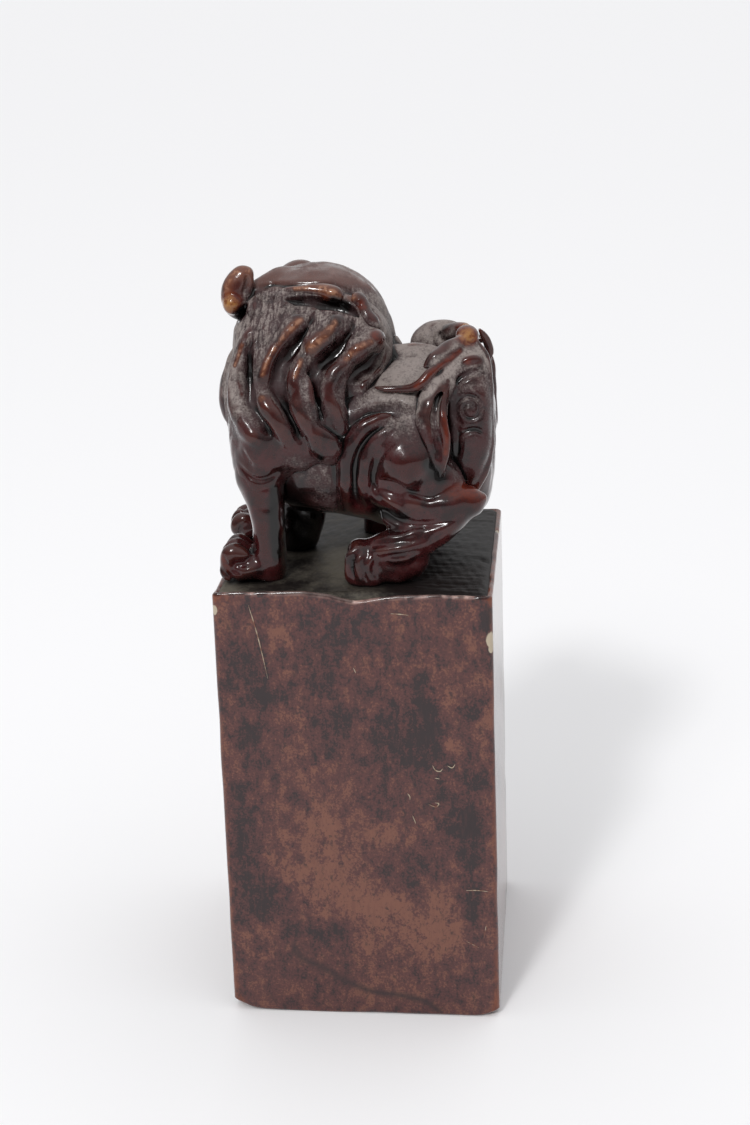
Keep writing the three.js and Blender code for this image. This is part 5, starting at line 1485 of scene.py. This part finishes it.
class LIONSEAL_PG_colours(bpy.types.PropertyGroup):
    """Colours of the stone, its dye and its dust, as sRGB."""
    lion_dark: colour_setting("Dyed stone", "Dye at its thickest on the carving", "#1e0b0c")
    lion_red: colour_setting("Dyed stone, redder", "Dye where light reaches into the stone", "#3e1516")
    lion_crest: colour_setting("Crests", "Rubbed crests of the carving", "#42201a")
    # Painted shade: the near black laid into the drilled hollows and under overhangs of the carving, and on
    # the ground under the lion
    painted_shade_tone: colour_setting("Deep hollows", "Bottom of the drilled hollows", "#0a0707")
    ember: colour_setting("Red glow", "Thin places where the stone glows red", "#320805")
    dome: colour_setting("Dome", "Satin brown of the smooth forehead", "#68453c")
    rubbed: colour_setting("Rubbed crests", "Warm brown of the rubbed locks", "#6c402c")
    # Painted highlight: the pale streak laid down the middle of the rubbed locks
    painted_highlight_core: colour_setting("Painted highlight streak", "Palest streak in the middle of a rubbed lock", "#a87c62")
    amber: colour_setting("Amber", "Thin dye on balls and tips", "#9c6e3c")
    orange: colour_setting("Orange glow", "Thinnest dye on the hock and the tail", "#5e1e08")
    dust_dark: colour_setting("Dust, thin", "Thin dust over the dye", "#4a4041")
    dust: colour_setting("Dust", "Dust and dry wax on flats and in valleys", "#958b86")
    block_dark: colour_setting("Block, dark", "Dark blotches of the block", "#281b1d")
    block_brown: colour_setting("Block, brown", "Middle brown of the block", "#512d2b")
    block_tan: colour_setting("Block, tan", "Light clouds of the block", "#74493a")
    block_edge: colour_setting("Block edges", "Rubbed edges of the block", "#743a20")
    # Painted highlight: the bright line laid along the front rim
    rim: colour_setting("Rim", "Worn bright line along the front rim", "#c9aaa0")
    pale_stone: colour_setting("Bare stone", "Undyed stone in the chips", "#b3a58f")
    ground_dark: colour_setting("Ground, dark", "Chiselled ground under the lion", "#191413")
    ground_dust: colour_setting("Ground, dust", "Dust on the chiselled ground", "#605a50")
    floor: colour_setting("Floor", "Studio floor and backdrop", "#f5f5f6")


class LIONSEAL_OT_block(bpy.types.Operator):
    """Build the polished block with its worn edges, chips and cloudy dye"""
    bl_idname = "lion_seal.block"
    bl_label = "Polished block"

    def execute(self, context):
        points, quads, round_ = block_points()
        x, y, z = points.T
        on_side = np.abs(round_).max(1)
        front = smooth_step(-14, -17.2, y)
        top = smooth_step(57, 60, z)
        sagged = (rim_height(x) - BLOCK_TOP) * front
        points[:, 2] += top * (sagged + (1 - front) * 0.06 * wavy(points, 5, 21))
        # Under the ground the top lies lower, so that only the rim shows
        points[:, 2] -= 1.5 * top * smooth_step(17, 15.8, np.abs(points[:, :2]).max(1))

        # Upright edges, uneven sides, and chips and worn corners that fade like a bell curve
        edge_gap = np.sort(FOOT_HALF - np.abs(points[:, :2]), axis=1)
        corner = np.exp(-(edge_gap[:, 1] / 0.9) ** 2)
        push = 0.05 * wavy(points, 9, 22) * on_side
        bare = np.zeros(len(points))
        for cx, cy, cz, size, depth in CHIPS:
            gone = np.exp(-(((points - [cx, cy, cz]) / [size * 0.7, size * 0.7, size]) ** 2).sum(1))
            push -= depth * gone
            bare = np.maximum(bare, gone * 1.3)
        worn = np.zeros(len(points))
        for cx, cy, cz, reach, depth in WORN_CORNERS:
            gone = np.exp(-(((points - [cx, cy, cz]) / [reach * 0.8, reach * 0.8, reach]) ** 2).sum(1) * 1.4)
            push -= depth * gone
            worn = np.maximum(worn, gone)

        # The way out of the block, nearly square to the face that a point lies on
        away = np.column_stack([points[:, :2], 1.2 * (z - BLOCK_TOP / 2)]) / 17
        away = np.sign(away) * np.abs(away) ** 6
        away /= np.linalg.norm(away, axis=1, keepdims=True) + 1e-9

        # Beads of wax along the front rim, and the painted highlight line just under it
        over_rim = points[:, 2] - rim_height(x)
        bead = np.exp(-((over_rim + 0.05) / 0.3) ** 2) * np.exp(-((y + TOP_HALF) / 0.5) ** 2)
        bead *= smooth_step(0, 0.7, 0.55 + 0.5 * wavy(points, 3.5, 23))
        painted_rim_highlight = np.exp(-((over_rim + 0.1) / 0.2) ** 2) * front * on_side**4
        painted_rim_highlight *= smooth_step(16.5, 14, np.abs(x)) * (0.8 + 0.3 * wavy(points, 2.2, 24))
        points += away * (push + 0.16 * bead)[:, None]

        # Darker and lighter places in the dye, spread over the face that they lie on, rings and the vein
        tint = np.zeros(len(points))
        for cx, cy, cz, wide, tall, dark in BLOTCHES:
            flat = abs(cy) > 17.9
            across = (x - cx) if flat else (y - cy)
            depth = (y - cy) if flat else (x - cx)
            tint += dark * np.exp(-(across / wide) ** 2 - ((z - cz) / tall) ** 2 - (depth / 6) ** 2)
        for cx, cy, cz, radius in RINGS:
            gap = np.abs(np.hypot(x - cx, z - cz) - radius)
            tint -= 0.5 * np.exp(-(gap / 0.4) ** 2 - ((y - cy) / 4) ** 2)
        line = through(np.array(VEIN), np.linspace(0, 1, 160))
        vein = np.zeros(len(points))
        for place in line:
            vein = np.maximum(vein, np.exp(-((points - place) ** 2 / [0.22, 4, 0.22]).sum(1)))

        # Rubbed edges, and bare stone at the foot
        foot = np.exp(-(z / 0.5) ** 2)
        rim = np.exp(-((z - BLOCK_TOP) / 0.6) ** 2) * on_side
        ends = smooth_step(12, 17, np.abs(x)) * np.exp(-((z - 59.6) / 1.3) ** 2) * on_side
        edge = np.clip(0.85 * corner + 0.45 * foot + 0.25 * rim + 0.5 * ends + 0.9 * worn, 0, 1)
        edge *= smooth_step(0.9, 1, on_side)
        foot_line = 0.22 * np.exp(-(z / 0.3) ** 2) * on_side**8
        bare = np.maximum(bare, 0.5 * smooth_step(0.3, 0.9, worn) * foot + foot_line)
        piece = add_mesh("polished_block", points, quads, material_for("block"), {
            "tint": np.clip(tint, -1.2, 1), "edge": edge, "bare": bare, "vein": vein, "lip": bead,
            "rim": painted_rim_highlight}, welded=True)
        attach(piece, "root")
        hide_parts("seal_block")
        return {"FINISHED"}


class LIONSEAL_OT_ground(bpy.types.Operator):
    """Build the chiselled ground that the lion sits on"""
    bl_idname = "lion_seal.ground"
    bl_label = "Chiselled ground"

    def execute(self, context):
        outline = square_outline(70, 8, 1.2 / TOP_HALF)
        half = TOP_HALF - GROUND_INSET
        levels = [(0, 58.7), (1, 58.7), (1, 59.6), (0.995, 59.85), (0.985, BLOCK_TOP)]
        levels += [(share, GROUND_TOP) for share in np.linspace(0.97, 0, 70)]
        levels = np.array(levels)
        count = len(outline)
        points = np.column_stack([
            np.tile(outline, (len(levels), 1)) * half * np.repeat(levels[:, 0], count)[:, None],
            np.repeat(levels[:, 1], count)])
        x, y, z = points.T
        on_top = z > BLOCK_TOP + 0.1
        right = smooth_step(2, 9, x)
        # Tool marks, long ones on the right, and the worn corner, the lit middle, which is a painted pool of
        # light, and the sunk border
        marks = wavy(points * [0.6, 3, 1], 4.2, 31) * 0.05 * right
        marks += wavy(points * [1.6, 1.4, 1], 2.4, 32) * 0.035
        fall = smooth_step(7, 0, np.hypot(x + 17.5, y + 17.5))
        lit = np.exp(-((x + 1) / 4.5) ** 2 - ((y + 5) / 8) ** 2)
        rim = smooth_step(0.93, 1.0, np.maximum(np.abs(x), np.abs(y)) / half)
        level = GROUND_TOP + marks - 0.3 * fall - rim * (GROUND_TOP - rim_height(x) + 0.1)
        notch = np.exp(-((x - 16.8) / 1.4) ** 2 - ((y + 4.5) / 0.35) ** 2)
        points[:, 2] = np.where(on_top, level - 0.35 * notch, np.minimum(z, level))
        # How much of the lion stands round each point just above the ground, for the painted shade under it
        around = stone_round(points * [1, 1, 0] + [0, 0, GROUND_TOP + 0.4], 1.4)
        quads = closed_quads(len(levels), count)
        # The worn value holds the worn corner, the sunk border and a painted pool of light in the lit middle,
        # and is lower towards the right
        piece = add_mesh("chiselled_ground", points, quads, material_for("ground"), {
            "worn": 1.0 * fall + 0.1 * rim + 0.75 * lit - 0.45 * right,
            "shade": np.clip((around - 0.42) * 3, 0, 1)}, welded=True)
        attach(piece, "root")
        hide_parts("carved_ground")
        return {"FINISHED"}


# Scratches on the front, each a line of x, z
SCRATCHES = [
    [(-12.9, 59), (-12.4, 57), (-11.8, 54.2), (-10.9, 48.9)], [(4.9, 57.9), (6, 57.85), (7.2, 57.7)],
    [(13.7, 19.2), (15.2, 19.25), (16.7, 19.1)], [(9.7, 37.2), (10.1, 36.5), (10.7, 36.4), (11, 36.8)],
    [(6.4, 33.2), (6.7, 32.7), (6.7, 32.2)], [(9, 31.7), (10.1, 31.3), (10.4, 31.8), (9.9, 31.9)],
    [(7, 30), (7.4, 28.8)], [(13.7, 11.6), (15.4, 10.6)], [(16.3, 14), (16, 12.1)],
    [(11.6, 37.2), (12.2, 36.9), (12.6, 37.4)], [(10, 35.4), (10.6, 35.3)], [(0, 50.6), (0.3, 49.9)],
]


class LIONSEAL_OT_scratches(bpy.types.Operator):
    """Build the fine scratches on the front of the block, as slivers sunk to half their width"""
    bl_idname = "lion_seal.scratches"
    bl_label = "Scratches"

    def execute(self, context):
        width = context.scene.lion_seal_sizes.scratch_width / MM
        points, quads, start = [], [], 0
        for line in SCRATCHES:
            rows = []
            for step, (x, z) in enumerate(line):
                half = width * (0.5 if step in (0, len(line) - 1) else 0.8)
                rows.append((x, -half_width(z) - 0.3 * width, z - GROUND_TOP, half, 0.7 * half))
            form = Swept(rows, NEAR, 3, sides=8, rings=24)
            points.append(form.points)
            quads.append(form.quads + start)
            start += len(form.points)
        points, quads = np.concatenate(points), np.concatenate(quads)
        piece = add_mesh("block_scratches", points, quads, material_for("scratch"), welded=True)
        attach(piece, "root")
        return {"FINISHED"}


# The solids that each carved part stands for
LION_NODES = {
    "head": (
        "skull", "left_ear", "right_ear", "crown_curl_large", "crown_curl_small", "nose", "left_eye",
        "right_eye", "left_brow", "right_brow", "muzzle", "lower_jaw", "beard"),
    "mane": (
        "mane", "mane_lock_front", "mane_lock_throat", "mane_lock_ear", "mane_lock_ear_tip",
        "mane_lock_crown", "mane_lock_nape", "mane_lock_back", "mane_lock_shoulder", "mane_lock_chest",
        "mane_lock_far_front", "mane_lock_far_middle", "mane_lock_far_back"),
    "body": (
        "trunk", "left_thigh", "right_thigh", "thigh_flame_left", "thigh_flame_right", "left_hind_leg",
        "right_hind_leg", "left_hind_paw", "right_hind_paw"),
    "forelegs": ("left_foreleg", "right_foreleg", "left_forepaw", "right_forepaw"),
    "tail": (
        "tail_fan", "tail_curl_left", "tail_curl_right", "tail_plume_left", "tail_plume_right", "tail_scroll",
        "tail_tip"),
}


def build_lion_part(name):
    """A carved part as a mesh with the numbers for its finish, in place of the solids that it stands for."""
    points, quads = carved(name).surface()
    piece = add_mesh(f"lion_{name}", points, quads, material_for("lion"), wear_and_painted_light_of(points, quads))
    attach(piece, "root")
    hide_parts(*LION_NODES[name])
    return piece


class LIONSEAL_OT_head(bpy.types.Operator):
    """Carve the lion's head: dome, ears, curls, brows, eyes, open mouth and beard"""
    bl_idname = "lion_seal.head"
    bl_label = "Lion's head"

    def execute(self, context):
        build_lion_part("head")
        return {"FINISHED"}


class LIONSEAL_OT_mane(bpy.types.Operator):
    """Carve the mane and its S-shaped locks"""
    bl_idname = "lion_seal.mane"
    bl_label = "Mane"

    def execute(self, context):
        build_lion_part("mane")
        return {"FINISHED"}


class LIONSEAL_OT_body(bpy.types.Operator):
    """Carve the trunk, the thighs with their flame bands, and the hind legs"""
    bl_idname = "lion_seal.body"
    bl_label = "Body and hind legs"

    def execute(self, context):
        build_lion_part("body")
        return {"FINISHED"}


class LIONSEAL_OT_forelegs(bpy.types.Operator):
    """Carve the forelegs and their curled paws"""
    bl_idname = "lion_seal.forelegs"
    bl_label = "Forelegs"

    def execute(self, context):
        build_lion_part("forelegs")
        return {"FINISHED"}


class LIONSEAL_OT_tail(bpy.types.Operator):
    """Carve the fanned tail with its scrolls, flames and ball"""
    bl_idname = "lion_seal.tail"
    bl_label = "Tail"

    def execute(self, context):
        build_lion_part("tail")
        return {"FINISHED"}


# The camera, from the corners of the block as seen
CAMERA_PLACE = Vector((25.728, -223.439, 140.622)) * MM
CAMERA_RIGHT = Vector((0.994756, 0.097420, -0.031143))
CAMERA_UP = Vector((-0.004480, 0.345715, 0.938329))
CAMERA_AHEAD = Vector((-0.102178, 0.933269, -0.344339))


class LIONSEAL_OT_stage(bpy.types.Operator):
    """Set up the pale floor, the soft light and the camera"""
    bl_idname = "lion_seal.stage"
    bl_label = "Stage"

    def execute(self, context):
        scene = context.scene
        scene.view_settings.view_transform = "Standard"
        sizes = scene.lion_seal_sizes
        reach = sizes.floor_reach / MM
        x, y = np.meshgrid(*[np.linspace(-reach, reach, 9)] * 2)
        grid = np.column_stack([x.ravel(), y.ravel(), np.full(x.size, FLOOR_LEVEL)])
        index = np.arange(x.size).reshape(x.shape)
        quads = np.stack([index[:-1, :-1], index[:-1, 1:], index[1:, 1:], index[1:, :-1]], -1)
        add_mesh("floor", grid, quads.reshape(-1, 4), material_for("paper"))

        world = bpy.data.worlds.new("Soft room")
        scene.world = world
        world.use_nodes = True
        tree = world.node_tree
        tree.nodes.clear()
        # Bright overhead and behind, dimmer behind the viewer, as in a window-lit room
        lean = add_node(tree, "dot", add_node(tree, "direction"), (0.16, 0.24, 0.96))
        strength = add_node(tree, "eased", lean, -0.1, 0.95, 0.25, 1.02)
        add_node(tree, "world", add_node(tree, "glow", "#fefeff", strength))

        # A window to the left of the viewer gives the wax its sheen, and the lamp beside it the glints
        aim = Vector((0.24, 0.71, -0.66))
        lamp = bpy.data.lights.new("Lamp", "SUN")
        lamp.energy = 0.8
        lamp.angle = np.radians(7)
        pane = bpy.data.lights.new("Window", "AREA")
        pane.energy = 0.68
        pane.size = 0.16
        for light, place in ((lamp, Vector((0, 0, 0.5))), (pane, Vector((0, 0, 0.08)) - 0.6 * aim)):
            piece = bpy.data.objects.new(light.name, light)
            piece.location = place
            piece.rotation_euler = aim.to_track_quat("-Z", "Y").to_euler()
            scene.collection.objects.link(piece)

        camera = bpy.data.cameras.new("Camera")
        camera.lens = sizes.lens
        camera.sensor_width = 36
        camera.clip_start = 0.01
        viewer = bpy.data.objects.new("Camera", camera)
        scene.collection.objects.link(viewer)
        turned = Matrix((CAMERA_RIGHT, CAMERA_UP, -CAMERA_AHEAD)).transposed()
        viewer.matrix_world = Matrix.Translation(CAMERA_PLACE) @ turned.to_4x4()
        scene.camera = viewer
        return {"FINISHED"}


class LIONSEAL_PT_panel(bpy.types.Panel):
    """List the sizes, the colours and the pieces in the sidebar"""
    bl_idname = "LIONSEAL_PT_panel"
    bl_label = "Lion Seal"
    bl_space_type = "VIEW_3D"
    bl_region_type = "UI"
    bl_category = "Lion Seal"

    def draw(self, context):
        layout = self.layout
        for group in (context.scene.lion_seal_sizes, context.scene.lion_seal_colours):
            for name in group.bl_rna.properties.keys():
                if name not in ("rna_type", "name"):
                    layout.prop(group, name)
        for operator in OPERATORS:
            layout.operator(operator.bl_idname)


GROUPS = {"lion_seal_sizes": LIONSEAL_PG_sizes, "lion_seal_colours": LIONSEAL_PG_colours}
OPERATORS = (
    LIONSEAL_OT_stage, LIONSEAL_OT_block, LIONSEAL_OT_ground, LIONSEAL_OT_scratches, LIONSEAL_OT_head,
    LIONSEAL_OT_mane, LIONSEAL_OT_body, LIONSEAL_OT_forelegs, LIONSEAL_OT_tail,
)


def register():
    """Makes the settings, the operators and the panel known to Blender."""
    for item in (*GROUPS.values(), *OPERATORS, LIONSEAL_PT_panel):
        bpy.utils.register_class(item)
    for name, group in GROUPS.items():
        setattr(bpy.types.Scene, name, bpy.props.PointerProperty(type=group))


def unregister():
    """Takes the panel, the operators and the settings away again."""
    for name in GROUPS:
        delattr(bpy.types.Scene, name)
    for item in (LIONSEAL_PT_panel, *OPERATORS[::-1], *GROUPS.values()):
        bpy.utils.unregister_class(item)


def main():
    """Builds every piece in order."""
    register()
    for step in ("stage", "block", "ground", "scratches", "head", "mane", "body", "forelegs", "tail"):
        getattr(bpy.ops.lion_seal, step)()


if __name__ == "__main__":
    main()
